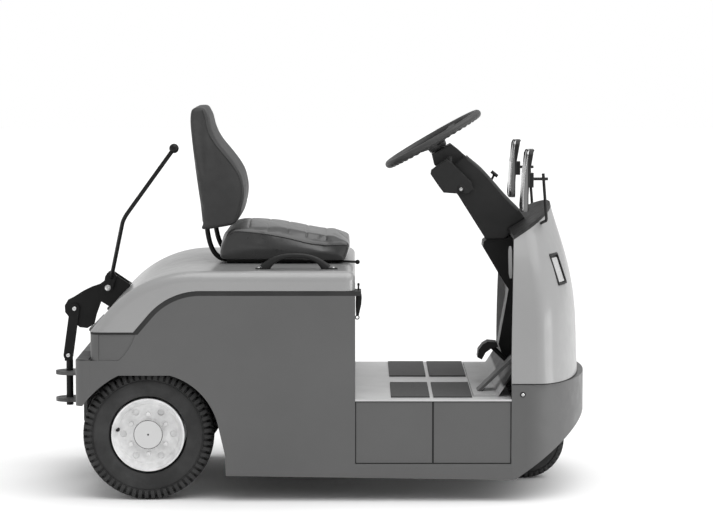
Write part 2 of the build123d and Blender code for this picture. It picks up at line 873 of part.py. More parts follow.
def rear_rim():
    inner = -(rear_tyre_face - rear_tyre_width)
    outer = -rear_tyre_face
    bore = axle_stub_radius + running_gap
    edge = rear_rim_radius - 6
    web = outer + 34
    web_back = web + 8
    profile = [(bore, outer + 22), (rear_hub_radius, outer + 22), (rear_hub_radius, web), (100, web),
               (edge - 6, outer + 4), (edge, outer + 4), (edge, inner - 6), (edge - 6, inner - 6),
               (edge - 12, web_back), (60, web_back), (60, inner - 30), (bore, inner - 30)]
    centre = (rear_axle_x, 0, rear_axle_z)
    wheel = turned(profile, centre)
    wheel += cross_rod((rear_axle_x, rear_axle_z), outer + 12, outer + 22, rear_hub_radius)
    bolt = cross_rod((rear_axle_x, rear_axle_z + bolt_circle), web - bolt_height, web + 1, bolt_radius)
    pocket = cross_rod((rear_axle_x, rear_axle_z + pocket_circle), web - 1, web + pocket_depth,
                       pocket_radius)
    pocket = pocket.rotate(Axis(centre, (0, 1, 0)), 180 / bolt_count)
    wheel = wheel.fuse(*around_wheel(bolt, bolt_count, centre))
    return wheel.cut(*around_wheel(pocket, bolt_count, centre))


def front_tyre():
    half = front_tyre_width / 2
    r = front_tyre_radius
    tread = r - front_shoulder
    profile = [(front_hub_radius, -half), (tread, -half), (r, -half + front_shoulder),
               (r, half - front_shoulder), (tread, half), (front_hub_radius, half)]
    return turned(profile, (front_axle_x, 0, r))


def front_hub():
    half = front_tyre_width / 2
    bore = front_axle_radius + running_gap
    edge = front_hub_radius
    lip = edge - front_hub_step
    dish = edge - 2 * front_hub_step
    boss = front_hub_boss
    tip = half + front_hub_boss_length
    floor = half - front_hub_recess
    profile = [(bore, -tip), (boss, -tip), (boss + 4, -floor), (dish, -floor), (lip, -half), (edge, -half),
               (edge, half), (lip, half), (dish, floor), (boss + 4, floor), (boss, tip), (bore, tip)]
    return turned(profile, (front_axle_x, 0, front_tyre_radius))


def steer_fork():
    inner = front_tyre_width / 2 + fork_gap
    outer = inner + fork_leg
    low = front_tyre_radius - fork_leg_below
    under = 2 * front_tyre_radius + fork_top_gap
    top = under + fork_crown
    x_low = front_axle_x - fork_half_length
    x_high = front_axle_x + fork_half_length
    crown = block(x_low, x_high, -outer, outer, under, top)
    leg = plate([(x_low, under), (x_high, under), (front_axle_x + fork_leg_foot, low),
                 (front_axle_x - fork_leg_foot, low)], inner, outer)
    nut = outer + front_axle_nut
    axle = cross_rod((front_axle_x, front_tyre_radius), -nut, nut, front_axle_radius)
    shaft_top = head_plate_low + bulkhead_sheet - 2
    shaft = rod((front_axle_x, 0, top), (front_axle_x, 0, shaft_top), steer_shaft_radius)
    return crown + leg + mirrored(leg) + axle + shaft


# Steering

def wheel_place():
    # The wheel's own plane, its +Z up along the column
    along = (math.cos(wheel_tilt), 0, math.sin(wheel_tilt))
    normal = (-math.sin(wheel_tilt), 0, math.cos(wheel_tilt))
    return Plane(origin=(wheel_x, 0, wheel_z), z_dir=normal, x_dir=along)


def below_wheel(along, down):
    # A point in X and Z, measured along the wheel's plane and down its column
    x = wheel_x + along * math.cos(wheel_tilt) + down * math.sin(wheel_tilt)
    z = wheel_z + along * math.sin(wheel_tilt) - down * math.cos(wheel_tilt)
    return x, z


def steering_wheel():
    ring_radius = wheel_radius - wheel_rim_radius
    ring = Solid.make_torus(ring_radius, wheel_rim_radius)
    hub = Solid.make_cylinder(wheel_hub_radius, wheel_hub_height, Plane(origin=(0, 0, -wheel_hub_height)))
    shaft = Solid.make_cylinder(column_shaft_radius, column_shaft_length)
    body = ring + hub + shaft.moved(Location((0, 0, -column_shaft_length)))
    for index in range(wheel_spokes):
        spoke = block(0, ring_radius, -spoke_width / 2, spoke_width / 2, -spoke_sheet, 0)
        body += spoke.moved(Location((0, 0, 0), (0, 0, 180 + index * 360 / wheel_spokes)))
    return body.moved(wheel_place().location)


def column_cover():
    # Narrow head under the wheel, wide body below it, and the shift lever on top
    bore = Solid.make_cylinder(column_shaft_radius + running_gap, column_shaft_length + panel_gap)
    bore = bore.moved(Location((0, 0, -column_shaft_length - panel_gap))).moved(wheel_place().location)
    under = wheel_hub_height + panel_gap
    head_outline = [below_wheel(-head_inner, under), below_wheel(head_outer, under)] + list(head_foot)
    head = plate(head_outline, -head_half_width, head_half_width)
    body = plate(column_body, -column_half_width, column_half_width) + head
    body -= cowl_cap() + bore
    stem = rod((shift_foot[0], shift_y, shift_foot[1]), (shift_head[0], shift_y, shift_head[1]),
               shift_radius)
    bar_start, bar_end = shift_bar
    bar = rod((bar_start[0], shift_y, bar_start[1]), (bar_end[0], shift_y, bar_end[1]), shift_bar_radius)
    return body + stem + bar


def column_switch_box():
    outer = -column_half_width - switch_width
    box = plate(switch_outline, outer, -column_half_width)
    knob_y = outer + switch_width / 2
    knob = rod((switch_knob[0], knob_y, switch_knob[1] - switch_knob_length),
               (switch_knob[0], knob_y, switch_knob[1] + switch_knob_length), switch_knob_radius)
    return box + knob + cross_rod(key_place, outer - key_length, outer + 1, key_radius)


def column_support():
    return plate(support_outline, -support_half_width, support_half_width) - toe_board()


def brake_pedal():
    low, high = pedal_y - pedal_half_width, pedal_y + pedal_half_width
    foot, head = brake_stem
    stem = rod((foot[0], pedal_y, foot[1]), (head[0], pedal_y, head[1]), pedal_stem_radius)
    return plate(brake_pad, low, high) + stem - toe_board()


def accelerator_pedal():
    y = treadle_inset - half_width
    return plate(treadle, y - treadle_half_width, y + treadle_half_width)


# Seat

def seat_cushion():
    outline = [(x, seat_bottom + z) for x, z in cushion_outline]
    return plate(outline, -seat_half_width, seat_half_width)


def seat_back():
    return plate(back_outline, -back_half_width, back_half_width)


def seat_frame():
    half = seat_rail_width / 2
    rear, front = seat_rail_rear_x, seat_rail_front_x
    rail = block(rear, front, seat_rail_y - half, seat_rail_y + half, hood_top, seat_bottom)
    frame = rail + mirrored(rail)
    for x_low in (rear, front - seat_cross_length):
        frame += block(x_low, x_low + seat_cross_length, -seat_rail_y, seat_rail_y, hood_top, seat_bottom)
    low = hood_top + seat_tube_radius
    for side in (-1, 1):
        y = side * seat_tube_y
        points = [(seat_tube_x, y, seat_tube_top), (seat_tube_x, y, low), (seat_tube_front_x, y, low)]
        frame += bent_rod(points, seat_tube_radius, seat_tube_bend)
    x, y, z = seat_knob
    stem = rod((front - seat_rail_width, y, low), (x, y, z), seat_knob_stem)
    knob = Solid.make_sphere(seat_knob_radius, Plane(origin=seat_knob))
    return frame + stem + knob - seat_back()


def grab_handle():
    outline = [(x, hood_top + z) for x, z in handle_outer + handle_inner]
    y = -half_width + handle_inset
    return plate(outline, y - handle_width / 2, y + handle_width / 2)


# Coupling

def jaw_plate(z_low, root):
    tip = rod((jaw_pin_x, 0, z_low), (jaw_pin_x, 0, z_low + jaw_sheet), jaw_pin_x - jaw_tip_x)
    return tip + block(jaw_pin_x, root, -jaw_half_width, jaw_half_width, z_low, z_low + jaw_sheet)


def hitch_jaw():
    front = rear_x + sheet
    upper = jaw_plate(jaw_upper_z, rear_x)
    lower = jaw_plate(jaw_lower_z, front)
    side = backing_half_width
    backing = block(front, front + backing_sheet, -side, side, backing_low, backing_high)
    hole = rod((jaw_pin_x, 0, tow_pin_low), (jaw_pin_x, 0, tow_pin_top), tow_pin_radius + tow_pin_gap)
    return upper + lower + backing - hole


def tow_pin():
    pin = rod((jaw_pin_x, 0, tow_pin_low), (jaw_pin_x, 0, tow_pin_top), tow_pin_radius)
    half = pin_ear_length / 2
    side = pin_ear_half_width
    ear = block(link_eye_x - half, link_eye_x + half, -side, side, tow_pin_top - pin_ear_lap,
                link_eye_z + link_width / 2)
    place = (link_eye_x, link_eye_z)
    axle = cross_rod(place, link_outer, side, link_pin_radius)
    head = cross_rod(place, link_outer - link_pin_head_length, link_outer, link_pin_head)
    return pin + ear + axle + head


def tow_link():
    lower = Vector(link_eye_x, 0, link_eye_z)
    upper = Vector(crank_nose_x, 0, crank_nose_z)
    axis = upper - lower
    side = Vector(axis.Z, 0, -axis.X).normalized() * (link_width / 2)
    corners = [lower - side, lower + side, upper + side, upper - side]
    bar = plate([(corner.X, corner.Z) for corner in corners], link_outer, link_inner)
    for end in (lower, upper):
        bar += cross_rod((end.X, end.Z), link_outer, link_inner, link_width / 2)
    bar -= cross_rod((link_eye_x, link_eye_z), link_outer - 1, 0, link_pin_radius + running_gap)
    place = (crank_nose_x, crank_nose_z)
    pivot = cross_rod(place, link_inner, crank_sheet, link_pin_radius)
    head = cross_rod(place, link_outer - link_pin_head_length, link_outer, link_pin_head)
    return bar + pivot + head


def lever_crank():
    cheek = plate(from_pivot(crank_outline, crank_x, crank_z), -crank_sheet / 2, crank_sheet / 2)
    cheek -= cross_rod((crank_nose_x, crank_nose_z), -crank_sheet, crank_sheet, nose_hole_radius)
    return cheek + cross_rod((crank_x, crank_z), -arm_inner, shaft_end, crank_shaft_radius)


def tow_lever():
    outer = -arm_inner - arm_sheet
    arm = plate(from_pivot(arm_outline, crank_x, crank_z), outer, -arm_inner)
    foot = (crank_x + lever_foot[0], outer + arm_sheet / 2, crank_z + lever_foot[1])
    stem = bent_rod([foot, lever_knee, lever_ball], lever_radius, lever_bend)
    return arm + stem + Solid.make_sphere(lever_ball_radius, Plane(origin=lever_ball))


def lever_bracket():
    outline = from_pivot(bracket_outline, crank_x, crank_z)
    outer = bracket_inner + bracket_cheek
    cheek = plate(outline, bracket_inner, outer)
    base = plate(from_pivot(bracket_base, crank_x, crank_z), -outer, outer)
    clear = cross_rod((crank_x, crank_z), -half_width, half_width, crank_shaft_radius + running_gap)
    return cheek + mirrored(cheek) + base - clear - hood_solid(0)


# Mirrors

def mirror_slab(near, far):
    # Part of the mirror's thickness, with rounded corners seen from behind
    y = -half_width + mirror_inset
    front_line = [(x + far, z) for x, z in reversed(mirror_line)]
    slab = plate([(x + near, z) for x, z in mirror_line] + front_line, y - mirror_half_width,
                 y + mirror_half_width)
    outline = RectangleRounded(2 * mirror_half_width, mirror_high - mirror_low, mirror_corner)
    centre = Plane(origin=(mirror_line[0][0] - reach_past, y, (mirror_low + mirror_high) / 2),
                   x_dir=(0, 1, 0), z_dir=(1, 0, 0))
    return slab & extrude(centre * outline, amount=6 * mirror_depth, dir=(1, 0, 0))


def mirror_glass():
    return mirror_slab(0, mirror_glass_sheet)


def mirror_arm():
    y = -half_width + mirror_inset
    x_low, x_high, z_low, z_high = clamp_box
    clamp = block(x_low, x_high, y - clamp_half_width, y + clamp_half_width, z_low, z_high)
    cross = rod((x_high - reach_past, y, mirror_cross_z), (mirror_cross_front, y, mirror_cross_z),
                mirror_arm_radius)
    points = [(x, y + step, z) for x, step, z in stalk_points]
    stalk = bent_rod(points, mirror_arm_radius, stalk_bend)
    return mirror_slab(mirror_glass_sheet, mirror_depth) + clamp + cross + (stalk - cowl_solid(0))


def write(name, shape):
    export_step(shape, f"parts/{name}.step")


def main():
    os.makedirs("parts", exist_ok=True)
    single = {
        "rear_panel": rear_panel(),
        "ledge_pads": ledge_pads(),
        "hood": hood(),
        "hood_trim": hood_trim(),
        "seat_box_panel": seat_box_panel(),
        "floor_plate": floor_plate(),
        "floor_mats": floor_mats(),
        "nose_skirt": nose_skirt(),
        "front_cowl": front_cowl(),
        "cowl_cap": cowl_cap(),
        "toe_board": toe_board(),
        "chassis_frame": chassis_frame(),
        "rear_axle": rear_axle(),
        "drive_unit": drive_unit(),
        "battery": battery(),
        "front_tyre": front_tyre(),
        "front_hub": front_hub(),
        "steer_fork": steer_fork(),
        "steering_wheel": steering_wheel(),
        "column_cover": column_cover(),
        "column_switch_box": column_switch_box(),
        "column_support": column_support(),
        "brake_pedal": brake_pedal(),
        "accelerator_pedal": accelerator_pedal(),
        "seat_cushion": seat_cushion(),
        "seat_back": seat_back(),
        "seat_frame": seat_frame(),
        "hitch_jaw": hitch_jaw(),
        "tow_pin": tow_pin(),
        "tow_link": tow_link(),
        "lever_crank": lever_crank(),
        "tow_lever": tow_lever(),
        "lever_bracket": lever_bracket(),
    }
    for name, shape in single.items():
        write(name, shape)
    covers = step_covers()
    paired = {
        "side_panel": side_panel(),
        "step_cover_rear": covers[0],
        "step_cover_front": covers[1],
        "rear_tyre": rear_tyre(),
        "rear_rim": rear_rim(),
        "headlamp": headlamp(),
        "hood_latch": hood_latch(),
        "grab_handle": grab_handle(),
        "mirror_glass": mirror_glass(),
        "mirror_arm": mirror_arm(),
    }
    for name, shape in paired.items():
        write(f"{name}_right", shape)
        write(f"{name}_left", mirrored(shape))


main()
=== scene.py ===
import math
import bpy
import bmesh
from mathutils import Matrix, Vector
from mathutils.bvhtree import BVHTree


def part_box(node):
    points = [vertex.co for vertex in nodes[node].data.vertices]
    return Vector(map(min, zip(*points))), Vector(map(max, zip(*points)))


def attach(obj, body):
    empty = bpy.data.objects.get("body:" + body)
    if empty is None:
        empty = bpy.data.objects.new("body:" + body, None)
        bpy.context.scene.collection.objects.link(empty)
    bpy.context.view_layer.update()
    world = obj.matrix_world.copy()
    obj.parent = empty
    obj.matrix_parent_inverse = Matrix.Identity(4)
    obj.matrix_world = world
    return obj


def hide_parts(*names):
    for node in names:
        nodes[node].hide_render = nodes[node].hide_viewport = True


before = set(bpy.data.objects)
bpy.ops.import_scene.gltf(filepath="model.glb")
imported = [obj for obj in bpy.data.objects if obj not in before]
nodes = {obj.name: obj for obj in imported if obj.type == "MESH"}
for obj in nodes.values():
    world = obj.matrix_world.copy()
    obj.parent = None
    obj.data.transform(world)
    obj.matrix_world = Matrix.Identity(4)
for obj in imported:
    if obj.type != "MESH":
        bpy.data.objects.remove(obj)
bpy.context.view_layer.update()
scene = bpy.context.scene
mm = 0.001
sides = (("right", -1), ("left", 1))
print("frame loaded:", len(nodes), "nodes")


# shader helpers

def startMaterial(name):
    material = bpy.data.materials.new(name)
    material.use_nodes = True
    tree = material.node_tree
    return material, tree, tree.nodes["Principled BSDF"]


def setInputs(node, values):
    for name, value in values.items():
        node.inputs[name].default_value = value


def addNode(tree, kind, **settings):
    # a setting is a property of the node or, failing that, one of its inputs
    node = tree.nodes.new(kind)
    for key, value in settings.items():
        if hasattr(node, key):
            setattr(node, key, value)
        else:
            node.inputs[key].default_value = value
    return node


def join(tree, source, target):
    tree.links.new(source, target)


def objectPlace(tree, scale=(1, 1, 1)):
    place = addNode(tree, "ShaderNodeTexCoord")
    mapping = addNode(tree, "ShaderNodeMapping", Scale=scale)
    join(tree, place.outputs["Object"], mapping.inputs["Vector"])
    return mapping.outputs["Vector"]


def noiseAt(tree, place, scale, detail=3.0, rough=0.55):
    noise = addNode(tree, "ShaderNodeTexNoise", Scale=scale, Detail=detail, Roughness=rough)
    join(tree, place, noise.inputs["Vector"])
    return noise.outputs["Fac"]


def cellsAt(tree, place, scale, feature="F1"):
    cells = addNode(tree, "ShaderNodeTexVoronoi", feature=feature, Scale=scale)
    join(tree, place, cells.inputs["Vector"])
    return cells.outputs["Distance"]


def remap(tree, value, low, high, fromLow=0.3, fromHigh=0.7):
    ranger = addNode(tree, "ShaderNodeMapRange")
    setInputs(ranger, {"From Min": fromLow, "From Max": fromHigh, "To Min": low, "To Max": high})
    join(tree, value, ranger.inputs["Value"])
    return ranger.outputs["Result"]


def stepAt(tree, place, axis, level, blur):
    # 0 below the level on that axis and 1 above it
    split = addNode(tree, "ShaderNodeSeparateXYZ")
    join(tree, place, split.inputs["Vector"])
    return remap(tree, split.outputs[axis], 0, 1, level - blur, level + blur)


def sumOf(tree, first, second, kind="ADD"):
    maths = addNode(tree, "ShaderNodeMath", operation=kind)
    join(tree, first, maths.inputs[0])
    join(tree, second, maths.inputs[1])
    return maths.outputs["Value"]


def scaled(tree, value, factor):
    times = addNode(tree, "ShaderNodeMath", operation="MULTIPLY")
    join(tree, value, times.inputs[0])
    times.inputs[1].default_value = factor
    return times.outputs["Value"]


def blendColour(tree, factor, first, second):
    mix = addNode(tree, "ShaderNodeMix", data_type="RGBA")
    colours = [socket for socket in mix.inputs if socket.type == "RGBA"]
    colours[0].default_value = (*first, 1)
    colours[1].default_value = (*second, 1)
    join(tree, factor, mix.inputs[0])
    return [socket for socket in mix.outputs if socket.type == "RGBA"][0]


def bumpFrom(tree, height, strength, distance, edge=0.0):
    # edge rounds sharp corners in the light, by that many metres
    bump = addNode(tree, "ShaderNodeBump", Strength=strength, Distance=distance)
    join(tree, height, bump.inputs["Height"])
    if edge:
        soft = addNode(tree, "ShaderNodeBevel", samples=6, Radius=edge)
        join(tree, soft.outputs["Normal"], bump.inputs["Normal"])
    return bump.outputs["Normal"]


def grey(value):
    return (value, value, value)


# sprayed steel: the tone drifts by the share "cloud" in clouds as fine as "patch"

paintLooks = {
    "bodyPaint": {"tone": 0.086, "rough": 0.46, "peel": 0.10, "cloud": 0.05, "patch": 3.5, "coat": 0.10,
                  "edge": 0.0015},
    "hoodPaint": {"tone": 0.275, "rough": 0.36, "peel": 0.08, "cloud": 0.03, "patch": 3.5, "coat": 0.55,
                  "edge": 0.0020},
    "cowlPaint": {"tone": 0.275, "rough": 0.42, "peel": 0.08, "cloud": 0.03, "patch": 3.5, "coat": 0.35,
                  "edge": 0.0030},
    # the cowl's rolled edge: a darker copy of the cowl paint, painted shade
    "rollPaintShaded": {"tone": 0.160, "rough": 0.50, "peel": 0.10, "cloud": 0.10, "patch": 9.0, "coat": 0.0,
                  "edge": 0.0020},
    "floorPaint": {"tone": 0.51, "rough": 0.45, "peel": 0.12, "cloud": 0.05, "patch": 6.0, "coat": 0.10,
                   "edge": 0.0010},
    # the rim paint's hub entry darkens the rear hub caps below the disc: painted shade
    "rimPaint": {"tone": 0.71, "rough": 0.42, "peel": 0.08, "cloud": 0.17, "patch": 24.0, "coat": 0.20,
                 "edge": 0.0025, "hub": {"centre": (-0.558, 0.217), "radius": 0.047}},
    "blackPaint": {"tone": 0.006, "rough": 0.44, "peel": 0.14, "cloud": 0.20, "patch": 12.0, "coat": 0.03,
                   "edge": 0.0012},
    "wornPaint": {"tone": 0.070, "rough": 0.50, "peel": 0.30, "cloud": 0.55, "patch": 30.0, "coat": 0.0,
                  "edge": 0.0020},
    "treadlePaint": {"tone": 0.085, "rough": 0.48, "peel": 0.20, "cloud": 0.25, "patch": 20.0, "coat": 0.0,
                     "edge": 0.0015},
}
sprayLook = {"smear": 22.0, "peel": 420.0, "peelHeight": 0.0006, "coatRough": 0.14}


def hubPaintedShadeMask(tree, hub):
    # 0 on the rear wheels' hub caps and 1 beyond them, so the hub caps take the darkest tone of the rim paint:
    # painted shade
    flat = addNode(tree, "ShaderNodeVectorMath", operation="MULTIPLY")
    flat.inputs[1].default_value = (1, 0, 1)
    join(tree, objectPlace(tree), flat.inputs[0])
    reach = addNode(tree, "ShaderNodeVectorMath", operation="DISTANCE")
    reach.inputs[1].default_value = (hub["centre"][0], 0, hub["centre"][1])
    join(tree, flat.outputs["Vector"], reach.inputs[0])
    return remap(tree, reach.outputs["Value"], 0, 1, hub["radius"] - 0.001, hub["radius"])


def spraySurface(tree, shader, place, look):
    # smears in the gloss, and orange peel
    smear = noiseAt(tree, place, sprayLook["smear"], 5.0)
    join(tree, remap(tree, smear, look["rough"] - 0.05, look["rough"] + 0.07), shader.inputs["Roughness"])
    peel = noiseAt(tree, place, sprayLook["peel"], 1.5)
    bump = bumpFrom(tree, peel, look["peel"], sprayLook["peelHeight"], look["edge"])
    join(tree, bump, shader.inputs["Normal"])


def sprayedPaint(name):
    look = paintLooks[name]
    material, tree, shader = startMaterial(name)
    place = objectPlace(tree)
    share = remap(tree, noiseAt(tree, place, look["patch"]), 0, 1)
    # painted shade on the hub caps: there the share is 0, the darkest tone
    if "hub" in look:
        share = sumOf(tree, share, hubPaintedShadeMask(tree, look["hub"]), "MULTIPLY")
    darker, lighter = look["tone"] * (1 - look["cloud"]), look["tone"] * (1 + look["cloud"])
    join(tree, blendColour(tree, share, grey(darker), grey(lighter)), shader.inputs["Base Color"])
    spraySurface(tree, shader, place, look)
    setInputs(shader, {"Coat Weight": look["coat"], "Coat Roughness": sprayLook["coatRough"],
                       "Specular IOR Level": 0.5 if look["tone"] > 0.05 else 0.2})
    return material


# the toe board is sprayed like the floor up to its knee, and black above it

boardLook = {"low": 0.42, "high": 0.006, "knee": 0.374, "blur": 0.004, "rough": 0.46, "peel": 0.12,
             "edge": 0.0012}


def boardPaint():
    material, tree, shader = startMaterial("boardPaint")
    place = objectPlace(tree)
    above = stepAt(tree, place, "Z", boardLook["knee"], boardLook["blur"])
    colour = blendColour(tree, above, grey(boardLook["low"]), grey(boardLook["high"]))
    join(tree, colour, shader.inputs["Base Color"])
    spraySurface(tree, shader, place, boardLook)
    shader.inputs["Specular IOR Level"].default_value = 0.25
    return material


# moulded plastic; a mirror's shell is black ahead of a given X and pale grey behind it, the pale grey a painted
# reflection

mouldLooks = {
    "mouldedBlack": {"tone": 0.011, "rough": 0.50, "grain": 900.0, "depth": 0.35, "edge": 0.0015},
    "columnPlastic": {"tone": 0.014, "rough": 0.44, "grain": 1100.0, "depth": 0.30, "edge": 0.010},
    "gripPlastic": {"tone": 0.048, "rough": 0.46, "grain": 1300.0, "depth": 0.25, "edge": 0.0015},
    "batteryCase": {"tone": 0.05, "rough": 0.55, "grain": 500.0, "depth": 0.30, "edge": 0.0015},
    "trimBlack": {"tone": 0.022, "rough": 0.42, "grain": 900.0, "depth": 0.30, "edge": 0.0020},
    "mirrorShell": {"tone": 0.17, "rough": 0.34, "grain": 900.0, "depth": 0.20, "edge": 0.0050,
                    "paintedReflectionEnd": 0.693, "blackTone": 0.010, "blur": 0.0015},
}


def mouldedPlastic(name):
    look = mouldLooks[name]
    material, tree, shader = startMaterial(name)
    place = objectPlace(tree)
    tone = look["tone"]
    # pale grey behind, black ahead: the pale part is painted reflection
    if "paintedReflectionEnd" in look:
        ahead = stepAt(tree, place, "X", look["paintedReflectionEnd"], look["blur"])
        colour = blendColour(tree, ahead, grey(tone), grey(look["blackTone"]))
    else:
        cloud = remap(tree, noiseAt(tree, place, 9.0), 0, 1)
        colour = blendColour(tree, cloud, grey(tone * 0.85), grey(tone * 1.2))
    join(tree, colour, shader.inputs["Base Color"])
    scuff = noiseAt(tree, place, 40.0, 6.0)
    join(tree, remap(tree, scuff, look["rough"] - 0.06, look["rough"] + 0.08), shader.inputs["Roughness"])
    grain = cellsAt(tree, place, look["grain"])
    join(tree, bumpFrom(tree, grain, look["depth"], 0.0004, look["edge"]), shader.inputs["Normal"])
    shader.inputs["Specular IOR Level"].default_value = 0.3
    return material


# rubber of the tyres, the mats, the pads on the ledge and the seals; the black seal rubber also paints shade in
# gaps and holes

rubberLooks = {
    "tyreRubber": {"dark": 0.020, "light": 0.050, "dust": 14.0, "grain": 700.0, "rough": 0.72, "studs": 0},
    "matRubber": {"dark": 0.055, "light": 0.085, "dust": 6.0, "grain": 900.0, "rough": 0.70, "studs": 0.0025},
    "padRubber": {"dark": 0.050, "light": 0.150, "dust": 30.0, "grain": 260.0, "rough": 0.66, "studs": 0.003},
    "blackRubberAndGapShade": {"dark": 0.008, "light": 0.016, "dust": 20.0, "grain": 900.0, "rough": 0.60, "studs": 0},
}


def dustyRubber(name):
    look = rubberLooks[name]
    material, tree, shader = startMaterial(name)
    place = objectPlace(tree)
    dust = remap(tree, noiseAt(tree, place, look["dust"], 6.0), 0, 1, 0.35, 0.75)
    join(tree, blendColour(tree, dust, grey(look["dark"]), grey(look["light"])), shader.inputs["Base Color"])
    gloss = remap(tree, dust, look["rough"] - 0.08, look["rough"] + 0.12, 0, 1)
    join(tree, gloss, shader.inputs["Roughness"])
    height = cellsAt(tree, place, look["grain"])
    if look["studs"]:
        studs = cellsAt(tree, place, 1 / (4 * look["studs"]))
        height = sumOf(tree, scaled(tree, height, 0.3), remap(tree, studs, 1, 0, 0.25, 0.4))
    join(tree, bumpFrom(tree, height, 0.5, 0.0008, 0.0012), shader.inputs["Normal"])
    shader.inputs["Specular IOR Level"].default_value = 0.35
    return material


# seat cover: a fine pebbled grain with soft folds in it; cushion and back are one vinyl in two tones, the back
# painted lighter and the cushion darker: painted light and shade

vinylLooks = {
    "seatVinylShadedCopy": {"dark": 0.012, "light": 0.020, "rough": 0.31, "coat": 0.40, "sheen": 0.25, "gloss": 0.5},
    "backVinylLitCopy": {"dark": 0.032, "light": 0.050, "rough": 0.50, "coat": 0.0, "sheen": 0.0, "gloss": 0.25},
}
vinylGrain = {"pebble": 620.0, "fold": 16.0, "strength": 0.35, "height": 0.0018}


def vinyl(name):
    look = vinylLooks[name]
    material, tree, shader = startMaterial(name)
    place = objectPlace(tree)
    worn = remap(tree, noiseAt(tree, place, 7.0, 4.0), 0, 1)
    join(tree, blendColour(tree, worn, grey(look["dark"]), grey(look["light"])), shader.inputs["Base Color"])
    smear = noiseAt(tree, place, 30.0, 5.0)
    join(tree, remap(tree, smear, look["rough"] - 0.05, look["rough"] + 0.08), shader.inputs["Roughness"])
    pebble = cellsAt(tree, place, vinylGrain["pebble"], "SMOOTH_F1")
    folds = noiseAt(tree, objectPlace(tree, (1.0, 0.35, 1.0)), vinylGrain["fold"], 2.0)
    height = sumOf(tree, scaled(tree, pebble, 0.12), folds)
    bump = bumpFrom(tree, height, vinylGrain["strength"], vinylGrain["height"])
    join(tree, bump, shader.inputs["Normal"])
    setInputs(shader, {"Specular IOR Level": look["gloss"], "Coat Weight": look["coat"], "Coat Roughness": 0.34,
                       "Sheen Weight": look["sheen"], "Sheen Roughness": 0.4})
    return material


# bare metal and the mirror face: brushed lines in the roughness

metalLooks = {
    "brightSteel": {"tone": 0.62, "rough": 0.26, "line": (900.0, 40.0, 900.0)},
    "castIron": {"tone": 0.06, "rough": 0.52, "line": (60.0, 60.0, 60.0)},
    "mirrorFace": {"tone": 0.42, "rough": 0.20, "line": (3.0, 3.0, 3.0)},
}


def worksMetal(name):
    look = metalLooks[name]
    material, tree, shader = startMaterial(name)
    shader.inputs["Metallic"].default_value = 1.0
    streak = noiseAt(tree, objectPlace(tree, look["line"]), 1.0, 4.0)
    tone = look["tone"]
    join(tree, blendColour(tree, streak, grey(tone * 0.85), grey(tone * 1.1)), shader.inputs["Base Color"])
    join(tree, remap(tree, streak, look["rough"] * 0.7, look["rough"] * 1.3), shader.inputs["Roughness"])
    join(tree, bumpFrom(tree, streak, 0.10, 0.0003, 0.0008), shader.inputs["Normal"])
    return material


# lamp glass: upright ribs over a pale reflector

lensLook = {"tone": 0.42, "rib": 210.0, "ribDepth": 0.35, "rough": 0.12, "coat": 1.0, "coatRough": 0.03}


def lampLens():
    material, tree, shader = startMaterial("lampLens")
    place = objectPlace(tree)
    ribs = addNode(tree, "ShaderNodeTexWave", wave_type="BANDS", bands_direction="Z", Scale=lensLook["rib"])
    join(tree, place, ribs.inputs["Vector"])
    tone = lensLook["tone"]
    cloud = noiseAt(tree, place, 18.0)
    join(tree, blendColour(tree, cloud, grey(tone * 0.8), grey(tone * 1.25)), shader.inputs["Base Color"])
    join(tree, bumpFrom(tree, ribs.outputs["Fac"], lensLook["ribDepth"], 0.0006), shader.inputs["Normal"])
    setInputs(shader, {"Roughness": lensLook["rough"], "Coat Weight": lensLook["coat"],
                       "Coat Roughness": lensLook["coatRough"]})
    return material


finishes = {name: sprayedPaint(name) for name in paintLooks}
finishes.update({name: mouldedPlastic(name) for name in mouldLooks})
finishes.update({name: dustyRubber(name) for name in rubberLooks})
finishes.update({name: worksMetal(name) for name in metalLooks})
finishes.update({name: vinyl(name) for name in vinylLooks})
finishes["lampLens"] = lampLens()
finishes["boardPaint"] = boardPaint()
print("materials made:", len(finishes))


def bothSides(*names):
    return [f"{name}_{side}" for name in names for side, sign in sides]


cadFinishes = {
    "bodyPaint": ["rear_panel", "seat_box_panel", "nose_skirt"]
    + bothSides("side_panel", "step_cover_rear", "step_cover_front"),
    "hoodPaint": ["hood"],
    "cowlPaint": ["front_cowl"],
    "floorPaint": ["floor_plate"],
    "rimPaint": ["front_hub"] + bothSides("rear_rim"),
    "boardPaint": ["toe_board"],
    "wornPaint": ["hitch_jaw"],
    "treadlePaint": ["accelerator_pedal"],
    "blackPaint": ["chassis_frame", "column_support", "brake_pedal", "seat_frame", "lever_bracket",
                   "steer_fork", "rear_axle", "lever_crank", "tow_lever", "tow_link", "tow_pin"],
    "castIron": ["drive_unit"],
    "mouldedBlack": ["cowl_cap", "seat_cushion", "seat_back"]
    + bothSides("grab_handle", "headlamp", "hood_latch"),
    "trimBlack": ["hood_trim"],
    "mirrorShell": bothSides("mirror_arm"),
    "mirrorFace": bothSides("mirror_glass"),
    "matRubber": ["floor_mats"],
    "padRubber": ["ledge_pads"],
    "tyreRubber": ["front_tyre"] + bothSides("rear_tyre"),
    "columnPlastic": ["column_cover", "column_switch_box"],
    "gripPlastic": ["steering_wheel"],
    "batteryCase": ["battery"],
}

for finish, names in cadFinishes.items():
    for name in names:
        mesh = nodes[name].data
        mesh.materials.clear()
        mesh.materials.append(finishes[finish])
print("frame pieces finished")


# mesh helpers

